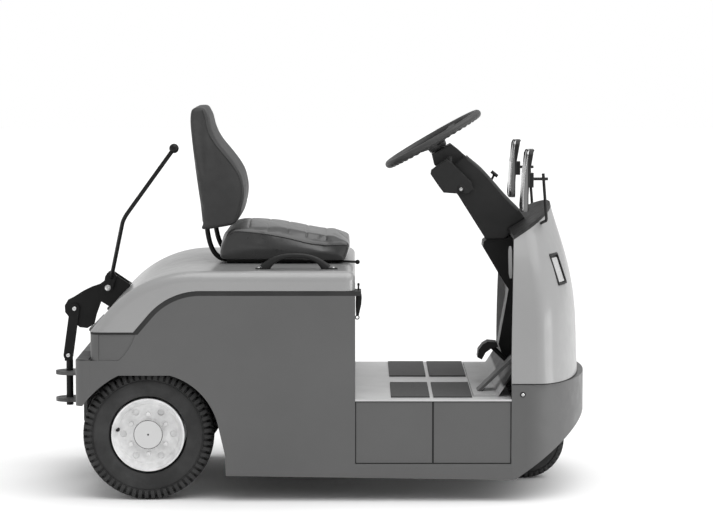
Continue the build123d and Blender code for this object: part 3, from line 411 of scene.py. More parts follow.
def addPiece(name, points, faces, finish, body, sharp=35):
    mesh = bpy.data.meshes.new(name)
    mesh.from_pydata([tuple(point) for point in points], [], faces)
    tidy = bmesh.new()
    tidy.from_mesh(mesh)
    bmesh.ops.remove_doubles(tidy, verts=tidy.verts, dist=0.00001)
    bmesh.ops.recalc_face_normals(tidy, faces=tidy.faces)
    tidy.to_mesh(mesh)
    tidy.free()
    mesh.polygons.foreach_set("use_smooth", [True] * len(mesh.polygons))
    mesh.set_sharp_from_angle(angle=math.radians(sharp))
    mesh.materials.append(finishes[finish])
    piece = bpy.data.objects.new(name, mesh)
    scene.collection.objects.link(piece)
    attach(piece, body)
    return piece


def joinPieces(name, pieces, finish, body, sharp=35):
    # one object from several (points, faces) sets
    points, faces = [], []
    for somePoints, someFaces in pieces:
        shift = len(points)
        points += somePoints
        faces += [tuple(corner + shift for corner in face) for face in someFaces]
    return addPiece(name, points, faces, finish, body, sharp)


def ringFaces(rings, around, closed=True):
    # quads between rings of points that follow each other
    faces = []
    for ring in range(rings if closed else rings - 1):
        here, ahead = ring * around, (ring + 1) % rings * around
        for step in range(around):
            after = (step + 1) % around
            faces.append((here + step, here + after, ahead + after, ahead + step))
    return faces


def tubeFaces(rings, around):
    # the same for an open run of rings, with both ends capped
    first, last = range(around), range((rings - 1) * around, rings * around)
    return ringFaces(rings, around, closed=False) + [tuple(first)[::-1], tuple(last)]


def directionAt(path, index, closed=False):
    if closed:
        return (path[(index + 1) % len(path)] - path[index - 1]).normalized()
    return (path[min(index + 1, len(path) - 1)] - path[max(index - 1, 0)]).normalized()


def clamped(value):
    return min(max(value, 0), 1)


def smoothLoop(points, steps, closed=True):
    # a Catmull-Rom curve through the points
    count = len(points)
    curve = []
    for index in range(count if closed else count - 1):
        places = [index + shift for shift in (-1, 0, 1, 2)]
        if closed:
            places = [place % count for place in places]
        else:
            places = [min(max(place, 0), count - 1) for place in places]
        before, start, end, after = (Vector(points[place]) for place in places)
        for step in range(steps):
            t = step / steps
            curve.append(0.5 * (2 * start + (end - before) * t
                                + (2 * before - 5 * start + 4 * end - after) * t * t
                                + (3 * start - before - 3 * end + after) * t ** 3))
    if not closed:
        curve.append(Vector(points[-1]))
    return curve


def sweep(path, sections):
    # closed sections carried along an open path in an upright plane
    points = []
    side = Vector((0, 1, 0))
    for index, centre in enumerate(path):
        out = directionAt(path, index).cross(side).normalized()
        points += [centre + out * u + side * v for u, v in sections[index]]
    return points, tubeFaces(len(path), len(sections[0]))


def tubeAlong(path, radius, around=8, up=(0, 1, 0), closed=False):
    # a round cord through the points of a path
    points = []
    for index, centre in enumerate(path):
        along = directionAt(path, index, closed)
        side = along.cross(Vector(up)).normalized()
        lift = side.cross(along)
        for step in range(around):
            angle = 2 * math.pi * step / around
            points.append(centre + side * radius * math.cos(angle) + lift * radius * math.sin(angle))
    return points, ringFaces(len(path), around) if closed else tubeFaces(len(path), around)


def roundBox(half, deep, corner, steps=4):
    # a rectangle with round corners, half by deep from its centre
    loop = []
    for turn, (u, v) in enumerate(((1, 1), (-1, 1), (-1, -1), (1, -1))):
        for step in range(steps + 1):
            angle = math.radians(90 * turn + 90 * step / steps)
            loop.append((u * (half - corner) + corner * math.cos(angle),
                         v * (deep - corner) + corner * math.sin(angle)))
    return loop


def disc(profile, centre, axis, steps=20):
    # a turned form: a profile of (along, radius) carried round the axis
    axis = Vector(axis).normalized()
    across = axis.orthogonal().normalized()
    third = axis.cross(across)
    points = []
    for step in range(steps):
        angle = 2 * math.pi * step / steps
        out = across * math.cos(angle) + third * math.sin(angle)
        points += [Vector(centre) + axis * along + out * radius for along, radius in profile]
    around = len(profile)
    return points, [face for face in ringFaces(steps, around) if face[0] % around != around - 1]


# seat: each pad is a smaller form that swells as cloth, then takes its sewn channels and piping
# edge and middle are the pad's outlines in X and Z, at its sides and halfway across

padLooks = {
    "seatCushion": {
        "node": "seat_cushion", "finish": "seatVinylShadedCopy", "half": 210, "round": 13, "crown": 3.0,
        "heldBelow": 786, "fill": 0.75, "pressure": 3.0, "cap": 10,
        "taper": 0.0, "taperFrom": 0, "taperTo": 1, "flatBelow": 800,
        "edge": ((-330, 782), (-328, 812), (-314, 846), (-296, 874), (-262, 880), (-163, 871), (-82, 858),
                 (5, 843), (60, 839), (98, 836), (108, 824), (100, 796), (92, 776), (70, 772), (-190, 772),
                 (-306, 773)),
        "middle": ((-330, 784), (-330, 816), (-318, 852), (-298, 884), (-256, 893), (-170, 884), (-86, 870),
                   (2, 852), (60, 847), (98, 838), (110, 822), (102, 800), (94, 784), (70, 781), (-190, 781),
                   (-306, 781)),
        "channels": {"axis": 0, "places": (-233, -168, -103, -38, 27), "facing": (0, 1), "reach": 190,
                     "depth": 2.4},
        "piping": ((-306, 862), (-290, 873), (-262, 876), (-160, 866), (-80, 852), (5, 834), (60, 830),
                   (98, 828), (106, 816), (99, 796), (92, 780)),
    },
    "seatBack": {
        "node": "seat_back", "finish": "backVinylLitCopy", "half": 207, "round": 11, "crown": 3.0,
        "heldBelow": 884, "fill": 0.7, "pressure": 2.0, "cap": 4,
        "taper": 0.20, "taperFrom": 1060, "taperTo": 1290, "flatBelow": 0,
        "edge": ((-390, 876), (-386, 900), (-392, 962), (-403, 1039), (-414, 1124), (-425, 1221),
                 (-428, 1270), (-421, 1286), (-402, 1289), (-384, 1287), (-374, 1262), (-364, 1215),
                 (-345, 1174), (-314, 1136), (-284, 1098), (-264, 1068), (-254, 1034), (-250, 1002),
                 (-255, 966), (-264, 930), (-276, 902), (-300, 890)),
        "middle": ((-390, 876), (-388, 900), (-395, 962), (-406, 1039), (-417, 1124), (-428, 1221),
                   (-430, 1270), (-421, 1286), (-402, 1289), (-383, 1286), (-372, 1258), (-360, 1212),
                   (-337, 1170), (-307, 1132), (-278, 1094), (-259, 1062), (-248, 1028), (-245, 996),
                   (-250, 961), (-260, 927), (-275, 902), (-300, 890)),
        "channels": {"axis": 2, "places": (960, 1025, 1090, 1155), "facing": (1, 0), "reach": 172,
                     "depth": 0.9},
        "piping": ((-388, 1284), (-377, 1256), (-366, 1211), (-343, 1172), (-312, 1134), (-281, 1096),
                   (-262, 1066), (-251, 1036), (-248, 1006), (-252, 974), (-261, 940), (-276, 906),
                   (-300, 893)),
    },
}
skinLook = {"voxel": 0.0053, "easeBefore": 6, "easeAfter": 4}
clothLook = {"mass": 0.3, "stretch": 40, "shear": 25, "bend": 12, "steps": 20}
channelLook = {"width": 3.2, "puff": 0.15, "pitch": 65, "fade": 12}
pipingLook = {"radius": 2.6, "lift": 0.7}


def insetLoop(loop, distance):
    # the loop is flat, in X and Z, and moves towards its own inside
    area = sum(loop[i - 1].x * point.z - point.x * loop[i - 1].z for i, point in enumerate(loop))
    inside = distance if area > 0 else -distance
    moved = []
    for index, point in enumerate(loop):
        along = directionAt(loop, index, closed=True)
        moved.append(point + Vector((-along.z, 0, along.x)) * inside)
    return moved


def tapered(look, x, y, z):
    # the pad narrows towards its top
    rise = clamped((z - look["taperFrom"]) / (look["taperTo"] - look["taperFrom"]))
    return Vector((x, y * (1 - look["taper"] * rise * rise), z)) * mm


def padForm(look):
    edge = smoothLoop([(x, 0, z) for x, z in look["edge"]], 4)
    middle = smoothLoop([(x, 0, z) for x, z in look["middle"]], 4)
    half, round = look["half"], look["round"]
    stations = [(half * step / 10, 0) for step in range(10) if half * step / 10 < half - round]
    stations += [(half - round + round * math.sin(math.radians(15 * step)),
                  round * (1 - math.cos(math.radians(15 * step)))) for step in range(7)]
    stations = [(-y, inset) for y, inset in reversed(stations[1:])] + stations
    points = []
    for y, inset in stations:
        loop = []
        for low, high in zip(edge, middle):
            power = 8 if low.z < look["flatBelow"] else look["crown"]
            loop.append(low + (high - low) * (1 - (abs(y) / half) ** power))
        points += [tapered(look, point.x, y, point.z) for point in insetLoop(loop, inset)]
    return points, tubeFaces(len(stations), len(edge))


def applied(piece):
    # the piece's mesh with its modifiers worked in
    graph = bpy.context.evaluated_depsgraph_get()
    graph.update()
    mesh = bpy.data.meshes.new_from_object(piece.evaluated_get(graph))
    old = piece.data
    piece.modifiers.clear()
    piece.data = mesh
    bpy.data.meshes.remove(old)


def swell(piece, look):
    held = piece.vertex_groups.new(name="held")
    low = [vertex.index for vertex in piece.data.vertices if vertex.co.z < look["heldBelow"] * mm]
    held.add(low, 1.0, "REPLACE")
    start = [vertex.co.copy() for vertex in piece.data.vertices]
    cloth = piece.modifiers.new("swell", "CLOTH")
    settings = cloth.settings
    settings.quality = 4
    settings.mass = clothLook["mass"]
    settings.tension_stiffness = settings.compression_stiffness = clothLook["stretch"]
    settings.shear_stiffness = clothLook["shear"]
    settings.bending_stiffness = clothLook["bend"]
    settings.use_pressure = True
    settings.uniform_pressure_force = look["pressure"]
    settings.vertex_group_mass = "held"
    settings.effector_weights.gravity = 0
    cloth.point_cache.frame_start = 1
    cloth.point_cache.frame_end = clothLook["steps"]
    for step in range(clothLook["steps"]):
        scene.frame_set(step + 1)
    graph = bpy.context.evaluated_depsgraph_get()
    ends = [vertex.co.copy() for vertex in piece.evaluated_get(graph).data.vertices]
    piece.modifiers.clear()
    piece.vertex_groups.clear()
    cap = look["cap"] * mm
    for vertex, before, after in zip(piece.data.vertices, start, ends):
        shift = after - before
        if shift.length > cap:
            shift *= cap / shift.length
        vertex.co = before + shift
    scene.frame_set(1)


def sewChannels(mesh, look):
    channels = look["channels"]
    axis, places = channels["axis"], [place * mm for place in channels["places"]]
    depth, width = channels["depth"] * mm, channelLook["width"] * mm
    puff = depth * channelLook["puff"]
    pitch, fade = channelLook["pitch"] * mm, channelLook["fade"] * mm
    outward = [vertex.normal.copy() for vertex in mesh.vertices]
    for vertex, normal in zip(mesh.vertices, outward):
        facing = normal.x * channels["facing"][0] + normal.z * channels["facing"][1]
        share = clamped((facing - 0.45) / 0.3) * clamped((channels["reach"] * mm - abs(vertex.co.y)) / fade)
        if share == 0:
            continue
        place = vertex.co[axis]
        sunk = sum(math.exp(-((place - centre) / width) ** 2) for centre in places)
        raised = 0
        if places[0] - pitch / 2 < place < places[-1] + pitch / 2:
            raised = math.sin(math.pi * (place - places[0]) / pitch) ** 2
        vertex.co -= normal * share * (depth * sunk - puff * raised)


def sewPiping(name, pad, look):
    surface = BVHTree.FromPolygons([vertex.co for vertex in pad.data.vertices],
                                   [tuple(polygon.vertices) for polygon in pad.data.polygons])
    cords = []
    for side, sign in sides:
        run = smoothLoop([(x, sign * (look["half"] + 8), z) for x, z in look["piping"]], 7, closed=False)
        path = []
        for point in run:
            place, normal, _, _ = surface.find_nearest(tapered(look, *point))
            path.append(place + normal * pipingLook["lift"] * mm)
        for _ in range(2):
            inner = [(path[i - 1] + path[i] * 2 + path[i + 1]) / 4 for i in range(1, len(path) - 1)]
            path = [path[0]] + inner + [path[-1]]
        cords.append(tubeAlong(path, pipingLook["radius"] * mm))
    piping = joinPieces(name, cords, look["finish"], "chassis", 60)


for name, look in padLooks.items():
    points, faces = padForm(look)
    pad = addPiece(name, points, faces, look["finish"], "chassis", 180)
    remesh = pad.modifiers.new("skin", "REMESH")
    remesh.mode = "VOXEL"
    remesh.voxel_size = skinLook["voxel"]
    pad.modifiers.new("ease", "SMOOTH").iterations = skinLook["easeBefore"]
    applied(pad)
    swell(pad, look)
    pad.modifiers.new("ease", "SMOOTH").iterations = skinLook["easeAfter"]
    pad.modifiers.new("finer", "SUBSURF").levels = 1
    applied(pad)
    sewChannels(pad.data, look)
    pad.data.polygons.foreach_set("use_smooth", [True] * len(pad.data.polygons))
    pad.data.materials.clear()
    pad.data.materials.append(finishes[look["finish"]])
    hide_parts(look["node"])
    sewPiping(name + "Piping", pad, look)
    print("pad sewn:", name, len(pad.data.polygons), "faces")


# tyres: turned wall with a groove, and lugs cut into both shoulders

rearTyre = {"radius": 217, "bead": 127.4, "half": 56, "lugs": 60, "deep": 12}
tyreLooks = {
    "rearTyreRight": {"node": "rear_tyre_right", "body": "rear_wheel_right", "centre": (-558, -414, 217),
                      **rearTyre},
    "rearTyreLeft": {"node": "rear_tyre_left", "body": "rear_wheel_left", "centre": (-558, 414, 217),
                     **rearTyre},
    "frontTyre": {"node": "front_tyre", "body": "front_wheel", "centre": (713, 0, 137), "radius": 137,
                  "bead": 82.4, "half": 40, "lugs": 42, "deep": 7},
}
# share of the half width, share of the height from bead to tread, and how deep a lug slot cuts there
tyreWall = ((0.80, 0.00, 0), (0.92, 0.03, 0), (0.965, 0.10, 0), (1.00, 0.22, 0), (1.00, 0.42, 0),
            (0.985, 0.54, 0), (0.955, 0.585, 0), (0.92, 0.60, 0), (0.91, 0.63, 0), (0.945, 0.655, 0),
            (0.99, 0.67, 0.2), (0.99, 0.73, 0.6), (0.965, 0.80, 0.9), (0.93, 0.87, 1), (0.87, 0.93, 1),
            (0.78, 0.962, 1), (0.60, 0.98, 0.9), (0.56, 0.98, 0), (0.42, 0.985, 0), (0.41, 0.91, 0),
            (0.33, 0.91, 0), (0.32, 0.99, 0), (0.10, 1.00, 0))
# share of the pitch from lug to lug, and whether the slot is cut there
lugSteps = ((0.00, 0), (0.05, 1), (0.36, 1), (0.44, 0), (0.62, 0), (0.82, 0))


def tyrePoints(look):
    wall = [(-share, height, cut) for share, height, cut in tyreWall] + list(reversed(tyreWall))
    pitch = 2 * math.pi / look["lugs"]
    tall = look["radius"] - look["bead"]
    points = []
    for lug in range(look["lugs"]):
        for fraction, sunk in lugSteps:
            for share, height, cut in wall:
                turn = (lug + fraction + (0.5 if share > 0 else 0)) * pitch
                slot = sunk * cut * look["deep"]
                radius = look["bead"] + tall * height - slot
                along = share * look["half"] - math.copysign(slot * 0.25, share)
                spot = Vector((radius * math.cos(turn), along, radius * math.sin(turn)))
                points.append((Vector(look["centre"]) + spot) * mm)
    return points, ringFaces(look["lugs"] * len(lugSteps), len(wall))


for name, look in tyreLooks.items():
    points, faces = tyrePoints(look)
    tyre = addPiece(name, points, faces, "tyreRubber", look["body"], 30)
    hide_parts(look["node"])
print("tyres made")


# wheel centres: a dark ring round the hub and a dark centre dot, painted shade in the gap and the hole, and a
# valve

hubLook = {"centre": (-558, 217), "face": 458, "gapShadeRadius": 47.2, "valve": (-102, 14), "valveFace": 438}
for side, sign in sides:
    outward = (0, sign, 0)
    x, z = hubLook["centre"]
    face = Vector((x, sign * hubLook["face"], z)) * mm
    gapShadeRadius = hubLook["gapShadeRadius"] * mm
    ring = disc([(-0.0006, gapShadeRadius - 0.0012), (0.0005, gapShadeRadius - 0.0006), (0.0005, gapShadeRadius + 0.0004),
                 (-0.0006, gapShadeRadius + 0.001)], face, outward, 64)
    holeShade = disc([(-0.001, 0.0034), (0.0006, 0.003), (0.0008, 0.0012), (0.0006, 0)], face, outward, 16)
    valveX, valveZ = hubLook["valve"]
    valveFoot = Vector((x + valveX, sign * hubLook["valveFace"], z + valveZ)) * mm
    valve = disc([(-0.004, 0.0075), (0.004, 0.0070), (0.008, 0.0048), (0.016, 0.0044), (0.0175, 0.0030),
                  (0.0175, 0)], valveFoot, outward, 20)
    trim = joinPieces(f"hubGapShadeAndValve_{side}", [ring, holeShade, valve], "blackRubberAndGapShade", f"rear_wheel_{side}")


# steering wheel: ring with finger waves below, three dished spokes, hub and shaft
# a spoke's rows give its reach, its height over the ring, its share of the width and its half thickness

steerLook = {"centre": (394, 0, 1174), "tilt": 30, "ring": 174, "thick": 13.5, "waves": 44, "waveDepth": 2.6,
             "hubRadius": 34, "hubDrop": 16, "shaftRadius": 16, "shaftEnd": 130, "spokes": 3, "spokeWidth": 30,
             "spokeRows": ((26, -20, 1.15, 7), (52, -15, 0.95, 5.5), (100, -8, 0.80, 5), (145, -3, 0.85, 5.5),
                           (170, 0, 1.15, 7))}


def steeringPieces(look):
    tilt = math.radians(look["tilt"])
    centre = Vector(look["centre"])
    along = Vector((math.cos(tilt), 0, math.sin(tilt)))
    normal = Vector((-math.sin(tilt), 0, math.cos(tilt)))
    side = Vector((0, 1, 0))
    ring = []
    steps, around = look["waves"] * 6, 16
    for step in range(steps):
        angle = 2 * math.pi * step / steps
        out = along * math.cos(angle) + side * math.sin(angle)
        wave = 0.5 - 0.5 * math.cos(look["waves"] * angle)
        for turn in range(around):
            cross = 2 * math.pi * turn / around
            thick = look["thick"] - look["waveDepth"] * wave * max(-math.sin(cross), 0)
            reach = look["ring"] + thick * math.cos(cross)
            ring.append((centre + out * reach + normal * thick * math.sin(cross)) * mm)
    pieces = [(ring, ringFaces(steps, around))]
    rows = look["spokeRows"]
    for spoke in range(look["spokes"]):
        angle = math.pi + 2 * math.pi * spoke / look["spokes"]
        out = along * math.cos(angle) + side * math.sin(angle)
        across = normal.cross(out)
        points = []
        for radius, height, width, thick in rows:
            base = centre + out * radius + normal * height
            box = roundBox(look["spokeWidth"] * width / 2, thick, thick * 0.8)
            points += [(base + across * u + normal * v) * mm for u, v in box]
        pieces.append((points, tubeFaces(len(rows), len(box))))
    r, drop, shaft, end = look["hubRadius"], look["hubDrop"], look["shaftRadius"], look["shaftEnd"]
    hub = [(-end, 0), (-end, shaft), (-40, shaft), (-40, r - 6), (-36, r - 2), (-drop - 8, r),
           (-drop + 2, r - 1), (-drop + 5, r - 5), (-drop + 6, r - 9), (-drop + 3.5, r - 10.5),
           (-drop + 6, 18), (-drop + 7, 0)]
    pieces.append(disc([(a * mm, b * mm) for a, b in hub], centre * mm, normal, 40))
    return pieces


wheel = joinPieces("steeringWheelGrip", steeringPieces(steerLook), "gripPlastic", "steering_wheel", 40)
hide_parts("steering_wheel")
print("steering wheel made")


# grab handles on the hood: a moulded arch that thickens into its feet

handleLook = {
    "y": 400, "deep": 13,
    "arch": ((-176, 762), (-166, 772), (-148, 787), (-124, 799), (-96, 805), (-66, 806), (-38, 804),
             (-10, 796), (10, 784), (24, 771), (33, 762)),
    "thick": (17, 15, 11, 8.5, 7, 6.5, 6.5, 7.5, 10, 14, 16),
    "tabs": ((-204, -170), (30, 68)), "tabZ": 763, "tabRise": (0.8, 1.6, 2.2, 2.6, 2.2, 1.2),
    "screws": (-192, 54), "screwZ": 765,
}
boltLook = {"radius": 5.5, "tall": 3.5}


def boltHead(look):
    radius, tall = look["radius"] * mm, look["tall"] * mm
    return [(0, radius), (tall * 0.5, radius * 0.96), (tall * 0.85, radius * 0.75), (tall, radius * 0.45),
            (tall * 0.35, radius * 0.38), (tall * 0.3, 0)]


for side, sign in sides:
    y, deep = sign * handleLook["y"], handleLook["deep"]
    path = smoothLoop([(x * mm, y * mm, z * mm) for x, z in handleLook["arch"]], 4, closed=False)
    thick = smoothLoop([(value, 0, 0) for value in handleLook["thick"]], 4, closed=False)
    pieces = [sweep(path, [roundBox(half.x * mm, deep * mm, min(half.x, deep) * 0.75 * mm) for half in thick])]
    for low, high in handleLook["tabs"]:
        line = [Vector((x, y, handleLook["tabZ"])) * mm
                for x in (low, low + 1.5, low + 4, high - 4, high - 1.5, high)]
        boxes = [roundBox(rise * mm, (deep - 1) * mm, rise * 0.7 * mm) for rise in handleLook["tabRise"]]
        pieces.append(sweep(line, boxes))
    handle = joinPieces(f"grabHandle_{side}", pieces, "mouldedBlack", "chassis", 45)
    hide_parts(f"grab_handle_{side}")
    heads = [disc(boltHead(boltLook), Vector((x, y, handleLook["screwZ"])) * mm, (0, 0, 1))
             for x in handleLook["screws"]]
    screws = joinPieces(f"handleScrews_{side}", heads, "brightSteel", "chassis", 30)
print("grab handles made")


# bright pin ends of the coupling

pinLooks = {
    "crankShaftEnd": {"place": (-724, -56.2, 665), "radius": 10.5, "tall": 3, "body": "tow_lever"},
    "linkPinEnd": {"place": (-843, -20.5, 589), "radius": 7.5, "tall": 2.5, "body": "tow_link"},
    "linkEyeEnd": {"place": (-866, -20.5, 427), "radius": 7, "tall": 2.5, "body": "tow_pin"},
}
for name, look in pinLooks.items():
    radius, tall = look["radius"] * mm, look["tall"] * mm
    profile = [(0, radius), (tall * 0.7, radius * 0.97), (tall, radius * 0.8), (tall, radius * 0.3),
               (tall * 0.4, radius * 0.2), (tall * 0.4, 0)]
    end = disc(profile, Vector(look["place"]) * mm, (0, -1, 0), 28)
    cap = joinPieces(name, [end], "brightSteel", look["body"], 30)


# key in the column: barrel and bow

keyLook = {"place": (486, -118.2, 1008), "bow": (1.8, 1.8, 2.2, 4.5, 5.5, 5.2, 3.8), "bowStep": 3.5,
           "bowThick": 1.1}
keyPlace = Vector(keyLook["place"]) * mm
barrel = disc([(0, 0.0065), (0.002, 0.0063), (0.003, 0.0055), (0.0018, 0.0044), (0.0022, 0)], keyPlace,
              (0, -1, 0), 28)
bow = []
for step, half in enumerate(keyLook["bow"]):
    centre = keyPlace + Vector((0, -2 - keyLook["bowStep"] * step, 0)) * mm
    box = roundBox(keyLook["bowThick"], half, 0.9)
    bow += [centre + Vector((u, 0, v)) * mm for u, v in box]
bowFaces = tubeFaces(len(keyLook["bow"]), len(box))
key = joinPieces("columnKey", [barrel, (bow, bowFaces)], "brightSteel", "chassis", 30)


# one screw with a dark washer on each side of the nose

noseScrew = {"place": (677, 500.2, 356), "washer": 9}
heads, washers = [], []
for side, sign in sides:
    outward = Vector((0, sign, 0))
    x, y, z = noseScrew["place"]
    place = Vector((x, sign * y, z)) * mm
    heads.append(disc(boltHead(boltLook), place + outward * 0.0006, outward))
    reach = noseScrew["washer"] * mm
    washers.append(disc([(0, reach), (0.0012, reach * 0.96), (0.0012, reach * 0.5)], place, outward, 28))
joinPieces("noseScrews", heads, "brightSteel", "chassis", 30)
joinPieces("noseScrewsWashers", washers, "blackRubberAndGapShade", "chassis", 30)
print("pins, key and screws made")


# seat frame: rails on the hood, two bent tubes up to the back, and the slide's knob

frameLook = {
    "rail": {"y": 150, "half": 15, "z": 769.5, "thick": 8, "ends": (-310, 80)},
    "bars": ((-310, -270), (40, 80)),
    "tube": {"radius": 8.5, "y": 120, "farShift": 16,
             "line": ((-382, 905), (-378, 876), (-374, 849), (-366, 818), (-352, 791), (-330, 773),
                      (-300, 770))},
    "knob": {"foot": (50, -165, 768), "place": (134, -165, 764), "radius": 8, "stem": 4},
}


def seatFramePieces(look):
    rail, tube, knob = look["rail"], look["tube"], look["knob"]
    pieces = []
    for side, sign in sides:
        line = [Vector((x, sign * rail["y"], rail["z"])) * mm for x in rail["ends"]]
        pieces.append(sweep(line, [roundBox(rail["thick"] * mm, rail["half"] * mm, 0.002)] * 2))
    between = (rail["y"] - rail["half"]) * mm
    for low, high in look["bars"]:
        line = [Vector((x, 0, rail["z"] - 1)) * mm for x in (low, high)]
        pieces.append(sweep(line, [roundBox((rail["thick"] - 2) * mm, between, 0.002)] * 2))
    for side, sign in sides:
        shift = tube["farShift"] if side == "left" else 0
        line = [Vector((x + shift, sign * tube["y"], z)) * mm for x, z in tube["line"]]
        pieces.append(tubeAlong(smoothLoop(line, 6, closed=False), tube["radius"] * mm, 16))
    foot, place, radius = Vector(knob["foot"]) * mm, Vector(knob["place"]) * mm, knob["radius"] * mm
    pieces.append(tubeAlong([foot, place], knob["stem"] * mm, 12))
    turns = [math.radians(15 * step) for step in range(13)]
    ball = [(-radius * math.cos(turn), radius * math.sin(turn)) for turn in turns]
    pieces.append(disc(ball, place, place - foot, 20))
    return pieces


seatFrame = joinPieces("seatFrameTubes", seatFramePieces(frameLook), "blackPaint", "chassis", 40)
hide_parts("seat_frame")
print("seat frame made")


# dark bands: under the hood's rear edge, and round the cowl's foot and in the gaps of the step covers, where
# they are painted shade in the gaps

sealLook = {
    "hood": {"rear": -744.6, "side": 500.4, "corner": 28, "front": -598, "low": 555.5, "high": 561.5},
    "cowl": {"rear": 641, "straight": 725, "front": 890.8, "side": 500.6, "low": 388.2, "high": 391.8},
    "bandDepth": 1.5, "coverGap": 3.0, "coverDepth": 2.2, "coverSink": 2.5,
}


def bandAlong(path, low, high, depth):
    # an upright band along a plan line, its outer face on the line
    points = []
    for index, place in enumerate(path):
        along = directionAt(path, index)
        inward = Vector((along.y, -along.x, 0)) * depth
        for shift, z in ((Vector(), low), (Vector(), high), (inward, high), (inward, low)):
            points.append((place + shift + Vector((0, 0, z))) * mm)
    return points, tubeFaces(len(path), 4)


def hoodSealLine(look):
    rear, side, corner = look["rear"], look["side"], look["corner"]
    right = [Vector((look["front"], -side, 0))]
    for step in range(7):
        turn = math.radians(15 * step)
        right.append(Vector((rear + corner - corner * math.sin(turn),
                             -side + corner - corner * math.cos(turn), 0)))
    return right + [Vector((point.x, -point.y, 0)) for point in reversed(right)]


# the band round the cowl's foot is painted shade in the gap there
def cowlFootShadeLine(look):
    reach = look["front"] - look["straight"]
    line = [Vector((look["rear"], look["side"], 0))]
    for step in range(49):
        turn = math.radians(90 - 180 * step / 48)
        line.append(Vector((look["straight"] + reach * math.cos(turn), look["side"] * math.sin(turn), 0)))
    return line + [Vector((look["rear"], -look["side"], 0))]


for name, look, lineOf in (("hoodSeal", sealLook["hood"], hoodSealLine),
                           ("cowlFootShadeBand", sealLook["cowl"], cowlFootShadeLine)):
    band = bandAlong(lineOf(look), look["low"], look["high"], sealLook["bandDepth"])
    joinPieces(name, [band], "blackRubberAndGapShade", "chassis", 30)

# dark strips in the gaps round the step covers: painted shade
gaps = []
for node in bothSides("step_cover_rear", "step_cover_front"):
    low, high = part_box(node)
    half, sink = sealLook["coverGap"] * mm / 2, sealLook["coverSink"] * mm
    y = low.y + sink if low.y < 0 else high.y - sink
    corners = [Vector((low.x - half, y, low.z - half)), Vector((high.x + half, y, low.z - half)),
               Vector((high.x + half, y, high.z + half)), Vector((low.x - half, y, high.z + half))]
    box = roundBox(half * 0.92, sealLook["coverDepth"] * mm, half * 0.4)
    gaps += [sweep([corner, corners[(index + 1) % 4]], [box] * 2) for index, corner in enumerate(corners)]
joinPieces("coverGapShadeStrips", gaps, "blackRubberAndGapShade", "chassis", 30)
print("seals made")


# headlamp lenses, in the pockets of their housings; a row gives a loop's height and inset

lensPlace = {"centre": (800.05, 344.0, 757), "level": (0.3667, 0.9304, 0), "out": (0.880, -0.347, 0.3247),
             "half": (31, 42), "shift": (-2.5, -2.5), "corner": 4,
             "rows": ((-1.9, 0), (0.2, 0), (1.2, 2), (1.8, 8), (2.0, 18))}
for side, sign in sides:
    look = lensPlace
    flip = Vector((1, -sign, 1))
    level = Vector(look["level"]) * flip
    out = (Vector(look["out"]) * flip).normalized()
    up = out.cross(level)
    x, y, z = look["centre"]
    wide, tall = look["half"]
    across, rise = look["shift"]
    points = []
    for height, inset in look["rows"]:
        centre = Vector((x, sign * y, z)) + level * across + up * rise + out * height
        loop = roundBox(wide - inset, tall - inset, look["corner"], 3)
        points += [(centre + level * u + up * v) * mm for u, v in loop]
    faces = tubeFaces(len(look["rows"]), len(loop))
    lens = addPiece(f"headlampLens_{side}", points, faces, "lampLens", "chassis", 30)


# column: a soft strip along its upper side, in a lighter plastic than the column: a painted highlight

topHighlightLook = {"line": ((508, 1112), (515, 1104), (557, 1069), (600, 1022), (642, 974), (684, 932)),
             "half": 6.5, "deep": 73.2, "corner": 6}
spineLine = smoothLoop([Vector((x, 0, z)) * mm for x, z in topHighlightLook["line"]], 4, closed=False)
spineBox = roundBox(topHighlightLook["half"] * mm, topHighlightLook["deep"] * mm, topHighlightLook["corner"] * mm)
spine = joinPieces("columnTopHighlight", [sweep(spineLine, [spineBox] * len(spineLine))], "gripPlastic", "chassis",
                   40)


# latch: strap, rod with its cross bar, and the loop below; the picture shows it on the right side alone
# a row of the strap gives x, z, half thickness and half width

latchLook = {"y": -440,
             "strap": ((137, 682, 10, 12), (138, 672, 10, 12), (137, 650, 9.5, 12), (134.5, 625, 6.5, 11),
                       (133.5, 612, 4.5, 10)),
             "rod": (137, 676, 714), "rodRadius": 3, "bar": 14, "barRadius": 4.2, "loop": (133, 605, 6, 1.8)}


def latchPieces(look):
    y = look["y"]
    line = [Vector((x, y, z)) * mm for x, z, thick, wide in look["strap"]]
    pieces = [sweep(line, [roundBox(thick * mm, wide * mm, 0.003) for x, z, thick, wide in look["strap"]])]
    x, low, high = look["rod"]
    rod = [Vector((x, y, low)) * mm, Vector((x, y, high)) * mm]
    pieces.append(tubeAlong(rod, look["rodRadius"] * mm, 12))
    radius, half = look["barRadius"], look["bar"]
    bar = [(-half, 0), (-half, radius * 0.7), (1 - half, radius), (half - 1, radius), (half, radius * 0.7),
           (half, 0)]
    pieces.append(disc([(along * mm, around * mm) for along, around in bar], rod[1], (0, 1, 0), 16))
    x, z, ring, wire = look["loop"]
    turns = [math.radians(15 * step) for step in range(24)]
    loop = [Vector((x + ring * math.cos(turn), y, z + ring * math.sin(turn))) * mm for turn in turns]
    return pieces + [tubeAlong(loop, wire * mm, closed=True)]


hoodLatch = joinPieces("hoodLatch", latchPieces(latchLook), "blackPaint", "chassis", 35)
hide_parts("hood_latch_right", "hood_latch_left")


# the trim's front lip is a short ear at the latch: a node tree cuts the rest away

lipCut = {"front": 126.2, "reach": 30, "low": 660, "height": 60, "right": -410, "left": 520}


